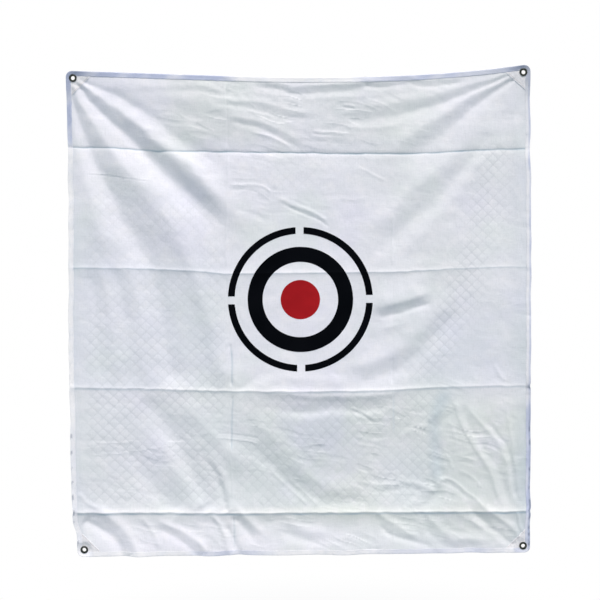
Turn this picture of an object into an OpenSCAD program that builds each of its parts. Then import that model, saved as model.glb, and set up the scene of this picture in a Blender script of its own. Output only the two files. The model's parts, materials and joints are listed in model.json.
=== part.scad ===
// Hanging golf target cloth: a bound white sheet with four corner grommets and a printed target.
// X runs across the cloth, Z points up and the printed side faces -Y.
// The origin is midway between the two top grommets, in the middle of the cloth's thickness.

/* [Cloth] */
// Width of the cloth over its side tapes
cloth_w = 1410; // [1100:5:1800]
// Thickness of the woven cloth
cloth_t = 0.8; // [0.5:0.1:1.4]
// Radius of each outer corner
corner_r = 18; // [16:1:24]
// How far the top edge sags between its grommets
top_sag = 28; // [0:1:40]
// Depth of the deepest hanging fold
fold_depth = 10; // [0:1:12]

/* [Packing creases] */
// Height of the top panel, from the top edge to the first crease
panel_1_h = 246; // [200:1:320]
// Height of the second panel
panel_2_h = 372; // [330:1:440]
// Height of the third panel, which carries most of the target
panel_3_h = 363; // [330:1:440]
// Height of the fourth panel
panel_4_h = 386; // [280:1:440]
// Height of the bottom panel, from the last crease to the bottom edge
panel_5_h = 133; // [120:1:200]
// Largest angle that a crease folds by
fold_limit = 150; // [90:5:160]
// Half of the gap that each crease leaves between its two panels
crease_gap = 0.4; // [0.3:0.05:0.45]

/* [Edge tape] */
// Width of the tape that is folded over each edge
tape_w = 15; // [12:1:18]
// Thickness of the tape
tape_t = 0.4; // [0.3:0.1:0.8]
// Distance from the tape's inner edge to its row of stitches
seam_inset = 2.5; // [1.5:0.5:4]
// Width of the sewing thread
thread_w = 0.7; // [0.5:0.1:1]
// Height of the sewing thread over the tape
thread_t = 0.3; // [0.2:0.1:0.5]

/* [Corners] */
// Leg of the triangular corner patch, from the cloth's outer edge
patch_leg = 90; // [70:1:105]
// Thickness of the corner patch
patch_t = 0.4; // [0.3:0.1:0.8]
// Distance from each edge to a grommet's centre
grommet_inset = 21.5; // [18:0.5:30]
// Diameter of a grommet's hole
grommet_d = 12; // [8:0.5:14]
// Diameter of a grommet's front flange
flange_d = 24; // [20:0.5:28]
// Height of the front flange
flange_h = 1.6; // [1.2:0.1:2.4]
// Wall of the grommet's barrel
barrel_wall = 0.7; // [0.5:0.1:1]
// Outer diameter of the back washer
washer_d = 23; // [20:0.5:27]
// Thickness of the back washer
washer_t = 0.8; // [0.6:0.1:1.2]

/* [Target] */
// Height of the target's centre over the cloth's centre
target_rise = 46; // [30:1:60]
// Outer diameter of the broken outer ring
outer_ring_d = 445; // [400:1:470]
// Radial width of the outer ring
outer_ring_w = 20.5; // [12:0.5:30]
// Width of the four breaks in the outer ring
ring_break = 24.5; // [15:0.5:40]
// Outer diameter of the inner ring
inner_ring_d = 324; // [280:1:350]
// Radial width of the inner ring
inner_ring_w = 46; // [30:0.5:60]
// Diameter of the bullseye
bullseye_d = 121; // [90:1:130]
// Thickness of the printed ink
ink_t = 0.25; // [0.2:0.05:0.5]

/* [Hidden] */

cloth_colour = [0.9, 0.92, 0.95];
tape_colour = [0.7, 0.73, 0.86];
thread_colour = [0.8, 0.82, 0.88];
metal_colour = [0.25, 0.27, 0.26];
ink_black = [0.04, 0.05, 0.07];
ink_red = [0.62, 0.1, 0.13];

// Gap between layers of cloth and tape that lie on each other
layer_gap = 0.05;
// Gap between an edge and the tape folded over it
edge_play = 0.4;
// Gap between two pieces of tape that meet end to end
butt_gap = 0.3;
// Flat cloth left beside a tape and beside a crease before a fold starts
tape_play = 4;
flat_crease = 3;
// Length of the tape that returns down the side below a rounded corner
tape_return = 6;
// Least radius of a corner that is drawn in by an inset
least_corner_r = 0.1;
// Margin, in degrees, that folded panels keep from each other, and how much of the wedge
// between them a panel's thinned edge fills
fold_margin = 1;
taper_share = 0.95;
// How far the wedges cut at a crease reach through the layers
wedge_reach = 6;
// Play of the grommet's barrel in the layers that it pins
barrel_play = 0.2;
// Rounding of the grommet's two mouths, and the lip rolled over its washer
mouth_r = 0.6;
lip_t = 0.9;
lip_reach = 1.8;
// How far the crown of the flange lies outward of the flange's middle
crown_shift = 1;
// Cell sizes of the folded grid, on panels with deep folds and on flatter ones
fine_cell = 38;
coarse_cell = 58;
// Sideways lean of the sag towards the right grommet
sag_skew = 0.5;
// Widths over which folds fade out beside tapes, creases, patches and the target
tape_fade = 55;
crease_fade = 60;
patch_fade = 90;
target_fade = 70;
// A grommet's fold: its width at the grommet as a share of its full width, and the shares of its
// length over which it rises and dies out
ray_start = 0.25;
ray_rise = 0.25;
ray_fade = 0.4;
// Faces of round parts
round_fn = 72;
ring_fn = 144;
corner_steps = 6;
sag_steps = 28;

// Folds that run out of a top grommet, each as its angle below the edge, its reach,
// its half width at the far end and its height as a share of the fold depth
left_grommet_folds = [
    [32, 560, 40, 0.7],
    [41, 680, 38, -1],
    [50, 600, 38, 0.7],
    [67, 640, 52, -0.6]
];
right_grommet_folds = [
    [18, 420, 26, -0.45],
    [24, 460, 26, 0.5],
    [31, 560, 34, -0.85],
    [39, 560, 36, 0.5],
    [47, 760, 52, -0.5]
];
// Folds across the cloth, each as its start and end (distance right of the left edge and
// below the top edge), its half width and its height as a share of the fold depth
cross_folds = [
    [980, 770, 1110, 700, 24, -0.35],
    [1180, 1010, 1290, 1200, 30, -0.4],
    [1230, 1000, 1350, 1180, 26, 0.35],
    [430, 1190, 500, 1350, 30, -0.35],
    [60, 1385, 180, 1480, 26, -0.5],
    [290, 1385, 400, 1480, 26, -0.4],
    [1270, 1480, 1330, 1385, 22, -0.5]
];

panel_heights = [panel_1_h, panel_2_h, panel_3_h, panel_4_h, panel_5_h];
cloth_h = panel_1_h + panel_2_h + panel_3_h + panel_4_h + panel_5_h;
half_w = cloth_w / 2;
top_z = grommet_inset;
bottom_z = top_z - cloth_h;
grommet_x = half_w - grommet_inset;
grommet_low_z = bottom_z + grommet_inset;
function sum_to(n) = n == 0 ? 0 : panel_heights[n - 1] + sum_to(n - 1);
function panel_top(n) = top_z - sum_to(n - 1);
function panel_bottom(n) = top_z - sum_to(n);
creases = [for (n = [1:4]) panel_bottom(n)];
target_z = (top_z + bottom_z) / 2 + target_rise;
wedge_slope = tan((180 - fold_limit) / 2 - fold_margin);

cloth_front = -cloth_t / 2;
patch_back = cloth_front - layer_gap;
patch_front = patch_back - patch_t;
tape_front_in = patch_front - layer_gap;
tape_front = tape_front_in - tape_t;
tape_back_in = cloth_t / 2 + layer_gap;
tape_back = tape_back_in + tape_t;
flange_seat = tape_front - layer_gap;
washer_seat = tape_back + layer_gap;
washer_back = washer_seat + washer_t;
hole_d = grommet_d + 2 * (barrel_wall + barrel_play);
cloth_edge = tape_t + edge_play;
seam_line = tape_w - seam_inset;
// Flat strip along each edge, as wide as its tape with a little to spare
flat_edge = tape_w + tape_play;

// Smooth step from 0 to 1
function ease(t) = t <= 0 ? 0 : t >= 1 ? 1 : t * t * (3 - 2 * t);
// Drop of the top edge at x
function sag_at(x) = let (s = x / grommet_x) abs(s) >= 1 ? 0 : top_sag * (1 - s * s) * (1 + sag_skew * s);
// Height profile of one straight fold at a point
function fold_at(x, z, x0, z0, x1, z1, w, h) =
    let (run = norm([x1 - x0, z1 - z0]))
    let (ux = (x1 - x0) / run, uz = (z1 - z0) / run)
    let (along = ((x - x0) * ux + (z - z0) * uz) / run)
    let (off = (x - x0) * uz - (z - z0) * ux)
    along <= 0 || along >= 1 ? 0 : h * sin(180 * along) * exp(-pow(off / w, 2));
// Height profile of one fold that widens out of a grommet
function ray_at(x, z, x0, side, fold) =
    let (ux = side * cos(fold[0]), uz = -sin(fold[0]))
    let (along = (x - x0) * ux + z * uz)
    let (off = (x - x0) * uz - z * ux)
    let (t = along / fold[1])
    let (w = fold[2] * (ray_start + (1 - ray_start) * t))
    t <= 0 || t >= 1 ? 0
        : fold[3] * ease(t / ray_rise) * ease((1 - t) / ray_fade) * exp(-pow(off / w, 2));
function add(list, i = 0) = i >= len(list) ? 0 : list[i] + add(list, i + 1);
function all_folds(x, z) =
    add([for (f = left_grommet_folds) ray_at(x, z, -grommet_x, 1, f)])
    + add([for (f = right_grommet_folds) ray_at(x, z, grommet_x, -1, f)])
    + add([for (f = cross_folds)
        fold_at(x, z, f[0] - half_w, top_z - f[1], f[2] - half_w, top_z - f[3], f[4], f[5])]);
// Folds die out where the cloth is held flat
function side_room(x) = ease((half_w - abs(x) - flat_edge) / tape_fade);
function end_room(z) = ease((min(top_z - z, z - bottom_z) - flat_edge) / tape_fade);
function crease_room(z) = ease((min([for (c = creases) abs(z - c)]) - flat_crease) / crease_fade);
function patch_room(x, z) =
    ease((half_w - abs(x) + min(top_z - z, z - bottom_z) - patch_leg - fine_cell) / patch_fade);
function target_room(x, z) =
    ease((norm([x, z - target_z]) - outer_ring_d / 2 - fine_cell) / target_fade);
function relief(x, z) =
    -fold_depth * all_folds(x, z) * side_room(x) * end_room(z) * crease_room(z)
    * patch_room(x, z) * target_room(x, z);
// Half thickness of a panel, thinned beside a crease so that the fold can close
function half_t(z) = min(cloth_t / 2, taper_share * wedge_slope * min([for (c = creases) abs(z - c)]));

// Points of one rounded corner about its centre, drawn in by an inset, from one angle to another
function corner_arc(x, z, inset, from, to) = let (r = max(corner_r - inset, least_corner_r))
    [for (i = [0:corner_steps]) let (a = from + (to - from) * i / corner_steps)
        [x + r * cos(a), z + r * sin(a)]];
// Outline of the cloth's top end, drawn in by an inset, from its left side to its right side
function top_path(inset, low) = concat(
    [[-half_w + inset, low]],
    corner_arc(-half_w + corner_r, top_z - corner_r, inset, 180, 90),
    [for (i = [0:sag_steps]) let (x = grommet_x * (2 * i / sag_steps - 1))
        [x, top_z - sag_at(x) - inset]],
    corner_arc(half_w - corner_r, top_z - corner_r, inset, 90, 0),
    [[half_w - inset, low]]);
// The same for its bottom end, from its right side to its left side
function bottom_path(inset, high) = concat(
    [[half_w - inset, high]],
    corner_arc(half_w - corner_r, bottom_z + corner_r, inset, 0, -90),
    corner_arc(-half_w + corner_r, bottom_z + corner_r, inset, -90, -180),
    [[-half_w + inset, high]]);
function reversed(list) = [for (i = [len(list) - 1:-1:0]) list[i]];
tape_top_end = top_z - corner_r - tape_return;
tape_bottom_end = bottom_z + corner_r + tape_return;

// A flat shape drawn in X and Z, filled from y0 to y1
module plate(y0, y1) {
    translate([0, y1, 0])
        rotate([90, 0, 0])
            linear_extrude(y1 - y0)
                children();
}

module grommet_holes(d) {
    for (side = [-1, 1], z = [0, grommet_low_z])
        translate([side * grommet_x, 0, z])
            rotate([90, 0, 0])
                cylinder(h = 4 * flange_d, d = d, center = true, $fn = round_fn);
}

// Everything that a fold of the largest angle would make two panels share
module fold_wedges() {
    reach = wedge_reach;
    for (c = creases)
        translate([-cloth_w, 0, c])
            rotate([90, 0, 90])
                linear_extrude(2 * cloth_w) {
                    polygon([[0, 0], [-reach, reach / wedge_slope], [-reach, -reach / wedge_slope]]);
                    polygon([[0, 0], [reach, -reach / wedge_slope], [reach, reach / wedge_slope]]);
                    square([2 * reach, 2 * crease_gap], center = true);
                }
}

// Outside of the rounded corners, cut off the square panels
module corner_offcuts() {
    r = corner_r - cloth_edge;
    for (side = [-1, 1], end = [0, 1])
        mirror([side < 0 ? 1 : 0, 0, 0])
            plate(-cloth_t, cloth_t)
                translate([half_w - corner_r, end == 0 ? top_z - corner_r : bottom_z + corner_r])
                    mirror([0, end, 0])
                        difference() {
                            square(2 * corner_r);
                            circle(r = r, $fn = round_fn);
                        }
}

function spaced(a, b, cell) = let (n = max(1, round(abs(b - a) / cell)))
    [for (i = [0:n]) a + (b - a) * i / n];

// One panel of cloth, a thin folded grid closed on all sides
module panel_sheet(n, cell) {
    taper = cloth_t / 2 / (taper_share * wedge_slope);
    upper = n == 1 ? top_z - cloth_edge : panel_top(n) - crease_gap;
    lower = n == 5 ? bottom_z + cloth_edge : panel_bottom(n) + crease_gap;
    upper_flat = n == 1 ? top_z - flat_edge : panel_top(n) - taper;
    lower_flat = n == 5 ? bottom_z + flat_edge : panel_bottom(n) + taper;
    side = half_w - cloth_edge;
    side_flat = half_w - flat_edge;
    xs = concat([-side], spaced(-side_flat, side_flat, cell), [side]);
    zs = concat([upper], spaced(upper_flat, lower_flat, cell), [lower]);
    nx = len(xs);
    nz = len(zs);
    function sunk(x, z) = n == 1
        ? z - sag_at(x) * ease((z - creases[0]) / (upper - creases[0]))
        : z;
    function corner(i, j, face) = [
        xs[i],
        relief(xs[i], zs[j]) + face * half_t(zs[j]),
        sunk(xs[i], zs[j])
    ];
    points = concat(
        [for (j = [0:nz - 1], i = [0:nx - 1]) corner(i, j, -1)],
        [for (j = [0:nz - 1], i = [0:nx - 1]) corner(i, j, 1)]);
    function at(i, j, face) = j * nx + i + face * nx * nz;
    faces = concat(
        [for (j = [0:nz - 2], i = [0:nx - 2]) each [
            [at(i, j, 0), at(i + 1, j, 0), at(i + 1, j + 1, 0)],
            [at(i, j, 0), at(i + 1, j + 1, 0), at(i, j + 1, 0)],
            [at(i, j, 1), at(i + 1, j + 1, 1), at(i + 1, j, 1)],
            [at(i, j, 1), at(i, j + 1, 1), at(i + 1, j + 1, 1)]]],
        [for (i = [0:nx - 2]) each [
            [at(i, 0, 0), at(i, 0, 1), at(i + 1, 0, 1)],
            [at(i, 0, 0), at(i + 1, 0, 1), at(i + 1, 0, 0)],
            [at(i, nz - 1, 0), at(i + 1, nz - 1, 1), at(i, nz - 1, 1)],
            [at(i, nz - 1, 0), at(i + 1, nz - 1, 0), at(i + 1, nz - 1, 1)]]],
        [for (j = [0:nz - 2]) each [
            [at(0, j, 0), at(0, j + 1, 1), at(0, j, 1)],
            [at(0, j, 0), at(0, j + 1, 0), at(0, j + 1, 1)],
            [at(nx - 1, j, 0), at(nx - 1, j, 1), at(nx - 1, j + 1, 1)],
            [at(nx - 1, j, 0), at(nx - 1, j + 1, 1), at(nx - 1, j + 1, 0)]]]);
    polyhedron(points, faces, convexity = 10);
}

module cloth_panel(n, cell) {
    color(cloth_colour)
        if (n == 1 || n == 5)
            difference() {
                panel_sheet(n, cell);
                corner_offcuts();
                grommet_holes(hole_d);
            }
        else
            panel_sheet(n, cell);
}

// Tape folded over an edge: a front leaf, a back leaf and the fold between them
module folded_tape() {
    plate(tape_front, tape_front_in)
        children(0);
    plate(tape_back_in, tape_back)
        children(0);
    plate(tape_front, tape_back)
        children(1);
}

module top_band(from, to) {
    polygon(concat(top_path(from, tape_top_end), reversed(top_path(to, tape_top_end))));
}

module bottom_band(from, to) {
    polygon(concat(bottom_path(from, tape_bottom_end), reversed(bottom_path(to, tape_bottom_end))));
}

module edge_tape_top() {
    color(tape_colour)
        difference() {
            folded_tape() {
                top_band(0, tape_w);
                top_band(0, tape_t);
            }
            grommet_holes(hole_d);
        }
}

module edge_tape_bottom() {
    color(tape_colour)
        difference() {
            folded_tape() {
                bottom_band(0, tape_w);
                bottom_band(0, tape_t);
            }
            grommet_holes(hole_d);
        }
}

function side_top(n) = n == 1 ? tape_top_end - butt_gap : panel_top(n) - crease_gap;
function side_bottom(n) = n == 5 ? tape_bottom_end + butt_gap : panel_bottom(n) + crease_gap;

module side_band(side, n, from, to) {
    mirror([side < 0 ? 1 : 0, 0])
        translate([half_w - to, side_bottom(n)])
            square([to - from, side_top(n) - side_bottom(n)]);
}

module edge_tape_side(side, n) {
    color(tape_colour)
        difference() {
            folded_tape() {
                side_band(side, n, 0, tape_w);
                side_band(side, n, 0, tape_t);
            }
            fold_wedges();
            grommet_holes(hole_d);
        }
}

// Sewing thread that stands on the tape's front leaf
module thread_line() {
    color(thread_colour)
        difference() {
            plate(tape_front - thread_t, tape_front)
                children();
            fold_wedges();
            grommet_holes(flange_d + 2 * edge_play);
        }
}

module seam_thread_top() {
    thread_line()
        top_band(seam_line - thread_w / 2, seam_line + thread_w / 2);
}

module seam_thread_bottom() {
    thread_line()
        bottom_band(seam_line - thread_w / 2, seam_line + thread_w / 2);
}

module seam_thread_side(side, n) {
    thread_line()
        side_band(side, n, seam_line - thread_w / 2, seam_line + thread_w / 2);
}

// Triangular patch under the tape, drawn for the top right or the bottom right corner
module patch_outline(end) {
    r = corner_r - cloth_edge;
    centre = [half_w - corner_r, end * (top_z - corner_r) + (1 - end) * (bottom_z + corner_r)];
    edge_z = end == 1 ? top_z - cloth_edge : bottom_z + cloth_edge;
    down = end == 1 ? -1 : 1;
    polygon(concat(
        [[half_w - patch_leg, edge_z - end * sag_at(half_w - patch_leg)]],
        [for (i = [0:corner_steps]) let (a = 90 - 90 * i / corner_steps)
            [centre[0] + r * cos(a), centre[1] - down * r * sin(a)]],
        [[half_w - cloth_edge, edge_z + down * (patch_leg - cloth_edge)]]));
}

module corner_patch(side, end) {
    color(cloth_colour)
        difference() {
            mirror([side < 0 ? 1 : 0, 0, 0])
                plate(patch_front, patch_back)
                    intersection() {
                        patch_outline(end);
                        patch_limit(side, end);
                    }
            grommet_holes(hole_d);
        }
}

// The sagging top edge trims the patch on either side
module patch_limit(side, end) {
    mirror([side < 0 ? 1 : 0, 0])
        if (end == 1)
            polygon(concat(top_path(cloth_edge, tape_top_end), [
                [half_w, tape_top_end], [half_w, bottom_z], [-half_w, bottom_z], [-half_w, tape_top_end]
            ]));
        else
            translate([-half_w, bottom_z])
                square([cloth_w, cloth_h / 2]);
}

// Grommet drawn about Z with its front flange up, then laid along -Y
module grommet(side, z) {
    bore_r = grommet_d / 2;
    barrel_r = bore_r + barrel_wall;
    flange_r = flange_d / 2;
    edge_r = flange_h / 3;
    front = -flange_seat + flange_h;
    back = -washer_back - layer_gap - lip_t;
    lip_r = barrel_r + lip_reach;
    steps = 5;
    color(metal_colour)
        translate([side * grommet_x, 0, z])
            rotate([90, 0, 0])
                rotate_extrude($fn = round_fn)
                    polygon(concat(
                        [[bore_r, back + mouth_r]],
                        [for (i = [0:steps]) let (a = 180 + 90 * i / steps)
                            [bore_r + mouth_r + mouth_r * cos(a), back + mouth_r + mouth_r * sin(a)]],
                        [[lip_r - lip_t / 2, back], [lip_r, back + lip_t / 2],
                         [lip_r - lip_t / 2, back + lip_t], [barrel_r, back + lip_t],
                         [barrel_r, -flange_seat], [flange_r - edge_r, -flange_seat]],
                        [for (i = [0:steps]) let (a = -90 + 180 * i / steps)
                            [flange_r - edge_r + edge_r * cos(a), -flange_seat + edge_r + edge_r * sin(a)]],
                        [[(flange_r + bore_r) / 2 + crown_shift, front]],
                        [for (i = [0:steps]) let (a = 90 + 90 * i / steps)
                            [bore_r + mouth_r + mouth_r * cos(a), front - mouth_r + mouth_r * sin(a)]]));
}

// Flat ring that the grommet's lip is rolled over, behind the cloth
module washer(side, z) {
    inner_r = grommet_d / 2 + barrel_wall + barrel_play;
    color(metal_colour)
        translate([side * grommet_x, washer_back, z])
            rotate([90, 0, 0])
                rotate_extrude($fn = round_fn)
                    polygon([
                        [inner_r, 0], [washer_d / 2 - washer_t / 2, 0], [washer_d / 2, washer_t / 2],
                        [washer_d / 2, washer_t], [inner_r, washer_t]
                    ]);
}

module ring_shape(d, w) {
    difference() {
        circle(d = d, $fn = ring_fn);
        circle(d = d - 2 * w, $fn = ring_fn);
    }
}

// Ink on the cloth's face, either above or below the crease that crosses the target
module ink(colour, upper) {
    crease_clear = (ink_t + cloth_t) / wedge_slope;
    side = 2 * outer_ring_d;
    low_z = upper ? creases[1] + crease_clear : creases[1] - crease_clear - side;
    color(colour)
        plate(cloth_front - layer_gap - ink_t, cloth_front - layer_gap)
            intersection() {
                translate([0, target_z])
                    children();
                translate([-outer_ring_d, low_z])
                    square(side);
            }
}

module broken_ring() {
    difference() {
        ring_shape(outer_ring_d, outer_ring_w);
        square([2 * outer_ring_d, ring_break], center = true);
        square([ring_break, 2 * outer_ring_d], center = true);
    }
}

cloth_panel(1, fine_cell);  // cloth_panel_1
cloth_panel(2, fine_cell);  // cloth_panel_2
cloth_panel(3, coarse_cell);  // cloth_panel_3
cloth_panel(4, coarse_cell);  // cloth_panel_4
cloth_panel(5, fine_cell);  // cloth_panel_5
edge_tape_top();
edge_tape_bottom();
edge_tape_side(-1, 1);  // edge_tape_left_1
edge_tape_side(-1, 2);  // edge_tape_left_2
edge_tape_side(-1, 3);  // edge_tape_left_3
edge_tape_side(-1, 4);  // edge_tape_left_4
edge_tape_side(-1, 5);  // edge_tape_left_5
edge_tape_side(1, 1);  // edge_tape_right_1
edge_tape_side(1, 2);  // edge_tape_right_2
edge_tape_side(1, 3);  // edge_tape_right_3
edge_tape_side(1, 4);  // edge_tape_right_4
edge_tape_side(1, 5);  // edge_tape_right_5
seam_thread_top();
seam_thread_bottom();
seam_thread_side(-1, 1);  // seam_thread_left_1
seam_thread_side(-1, 2);  // seam_thread_left_2
seam_thread_side(-1, 3);  // seam_thread_left_3
seam_thread_side(-1, 4);  // seam_thread_left_4
seam_thread_side(-1, 5);  // seam_thread_left_5
seam_thread_side(1, 1);  // seam_thread_right_1
seam_thread_side(1, 2);  // seam_thread_right_2
seam_thread_side(1, 3);  // seam_thread_right_3
seam_thread_side(1, 4);  // seam_thread_right_4
seam_thread_side(1, 5);  // seam_thread_right_5
corner_patch(-1, 1);  // corner_patch_top_left
corner_patch(1, 1);  // corner_patch_top_right
corner_patch(-1, 0);  // corner_patch_bottom_left
corner_patch(1, 0);  // corner_patch_bottom_right
grommet(-1, 0);  // grommet_top_left
grommet(1, 0);  // grommet_top_right
grommet(-1, grommet_low_z);  // grommet_bottom_left
grommet(1, grommet_low_z);  // grommet_bottom_right
washer(-1, 0);  // washer_top_left
washer(1, 0);  // washer_top_right
washer(-1, grommet_low_z);  // washer_bottom_left
washer(1, grommet_low_z);  // washer_bottom_right
ink(ink_black, true) broken_ring();  // target_outer_ring_upper
ink(ink_black, false) broken_ring();  // target_outer_ring_lower
ink(ink_black, true) ring_shape(inner_ring_d, inner_ring_w);  // target_inner_ring_upper
ink(ink_black, false) ring_shape(inner_ring_d, inner_ring_w);  // target_inner_ring_lower
ink(ink_red, false) circle(d = bullseye_d, $fn = round_fn);  // target_bullseye
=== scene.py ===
"""Hanging golf target cloth: its folds, tape, stitches, corner patches and print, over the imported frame.

Places on the cloth are given in millimetres: u across from the left edge, v down from the top corners,
and h toward the front. The frame is in metres, with the printed side facing -Y.
"""
import json
from math import cos, pi, radians, sin

import bmesh
import bpy
import numpy as np
from mathutils import Matrix, Vector

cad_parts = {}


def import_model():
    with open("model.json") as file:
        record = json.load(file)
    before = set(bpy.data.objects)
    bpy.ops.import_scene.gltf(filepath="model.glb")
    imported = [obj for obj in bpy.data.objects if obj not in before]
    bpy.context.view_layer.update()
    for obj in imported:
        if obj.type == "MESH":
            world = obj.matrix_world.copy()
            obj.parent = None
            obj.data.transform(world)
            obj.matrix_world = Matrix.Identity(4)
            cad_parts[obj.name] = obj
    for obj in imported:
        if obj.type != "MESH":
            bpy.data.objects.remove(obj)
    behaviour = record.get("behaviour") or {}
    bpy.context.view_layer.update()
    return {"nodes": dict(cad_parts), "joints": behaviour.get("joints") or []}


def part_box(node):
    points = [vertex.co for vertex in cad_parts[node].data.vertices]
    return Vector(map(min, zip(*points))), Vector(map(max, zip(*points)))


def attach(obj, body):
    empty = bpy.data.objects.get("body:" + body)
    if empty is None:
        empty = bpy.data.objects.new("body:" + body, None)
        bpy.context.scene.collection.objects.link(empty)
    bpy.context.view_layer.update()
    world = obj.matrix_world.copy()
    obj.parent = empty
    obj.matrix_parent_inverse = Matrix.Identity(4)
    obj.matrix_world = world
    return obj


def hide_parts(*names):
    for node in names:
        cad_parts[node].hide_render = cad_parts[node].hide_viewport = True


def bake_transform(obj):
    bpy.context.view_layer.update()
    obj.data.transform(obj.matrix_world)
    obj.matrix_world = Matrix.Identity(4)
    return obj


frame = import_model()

MM = 0.001


# ---- sizes, from the frame

def node_span(node, axis):
    """Lowest and highest place of a CAD node along an axis, in millimetres."""
    low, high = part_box(node)
    return low[axis] / MM, high[axis] / MM


CLOTH_W = node_span("edge_tape_right_1", 0)[1] - node_span("edge_tape_left_1", 0)[0]
TOP_Z = node_span("edge_tape_top", 2)[1]
CLOTH_H = TOP_Z - node_span("edge_tape_bottom", 2)[0]
TAPE_W = node_span("edge_tape_left_2", 0)[1] - node_span("edge_tape_left_2", 0)[0]
FLANGE_R = (node_span("grommet_top_left", 0)[1] - node_span("grommet_top_left", 0)[0]) / 2
GROMMET_INSET = node_span("grommet_top_left", 0)[0] + FLANGE_R + CLOTH_W / 2
PATCH_LEG = node_span("corner_patch_top_left", 0)[1] + CLOTH_W / 2
HINGE_V = [TOP_Z - joint["pos_m"][2] / MM for joint in frame["joints"]]

CORNER_R = 18           # outer radius of the cloth's corners
TOP_SAG = 28            # how far the top edge sags between its grommets
SAG_LEAN = 0.5          # how much more it sags right of the middle
CLOTH_T = 0.8
PATCH_T = 0.4
TAPE_T = 0.4
THREAD_W = 0.7
THREAD_T = 0.35
SEAM_INSET = 2.5        # from the tape's inner edge to its stitches
STITCH_PITCH = 4.6
STITCH_L = 3.9
STITCH_SLANT = 0.08     # how far a stitch leans aside, as a share of its length
INK_LIFT = 0.38         # the print's face over the cloth's face
INK_BACK = 0.06         # the print's back over the cloth's face
LEAF_GAP = 0.05         # between two layers that are sewn together

TARGET_U = CLOTH_W / 2
TARGET_V = 704
OUTER_R = (202, 222.5)  # the broken ring's inner and outer radius
OUTER_BREAK = 24.5      # width of its four breaks
INNER_R = (116, 162)    # the whole ring's inner and outer radius
BULLSEYE_R = 60.5

SEAM_V = [432, 941, 1174]      # where the cloth is divided between its bends, unseen
PRINT_CREASE = 1               # the crease that crosses the print, counted from 0
PIECE_NAMES = ["upper", "middle", "lower", "bottom"]


# ---- shapes of numbers

TINY = 1e-12                   # divided by in place of zero
SAME_PLACE = .01               # two places nearer than this are one


def rise(x, start, length):
    """0 up to start, then smoothly up to 1 within the length."""
    t = np.clip((x - start) / length, 0, 1)
    return t * t * (3 - 2 * t)


def fall(x, end, length):
    """1, then smoothly down within the length to 0 at the end."""
    return rise(-x, -end, length)


def window(x, start, rise_length, end, fall_length):
    """1 between start and end, with a smooth rise after the start and a smooth fall before the end."""
    return rise(x, start, rise_length) * fall(x, end, fall_length)


def bell(x, middle, half_width, power=2):
    """1 at the middle, and smoothly down to 0 on both sides."""
    return np.exp(-((x - middle) / half_width) ** power)


def spot(u, v, middle_u, middle_v, half_u, half_v):
    return bell(u, middle_u, half_u) * bell(v, middle_v, half_v)


def unit(vectors):
    return vectors / np.maximum(np.linalg.norm(vectors, axis=-1), TINY)[..., None]


def run_along(u, v):
    """Distance along a line of points, at each of them."""
    return np.concatenate([[0], np.cumsum(np.hypot(np.diff(u), np.diff(v)))])


def top_sag(u):
    """How far the top edge lies under its two corners."""
    s = np.clip((u - CLOTH_W / 2) / (CLOTH_W / 2 - GROMMET_INSET), -1, 1)
    return TOP_SAG * (1 - s * s) * (1 + SAG_LEAN * s)


# ---- the hung surface

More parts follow.
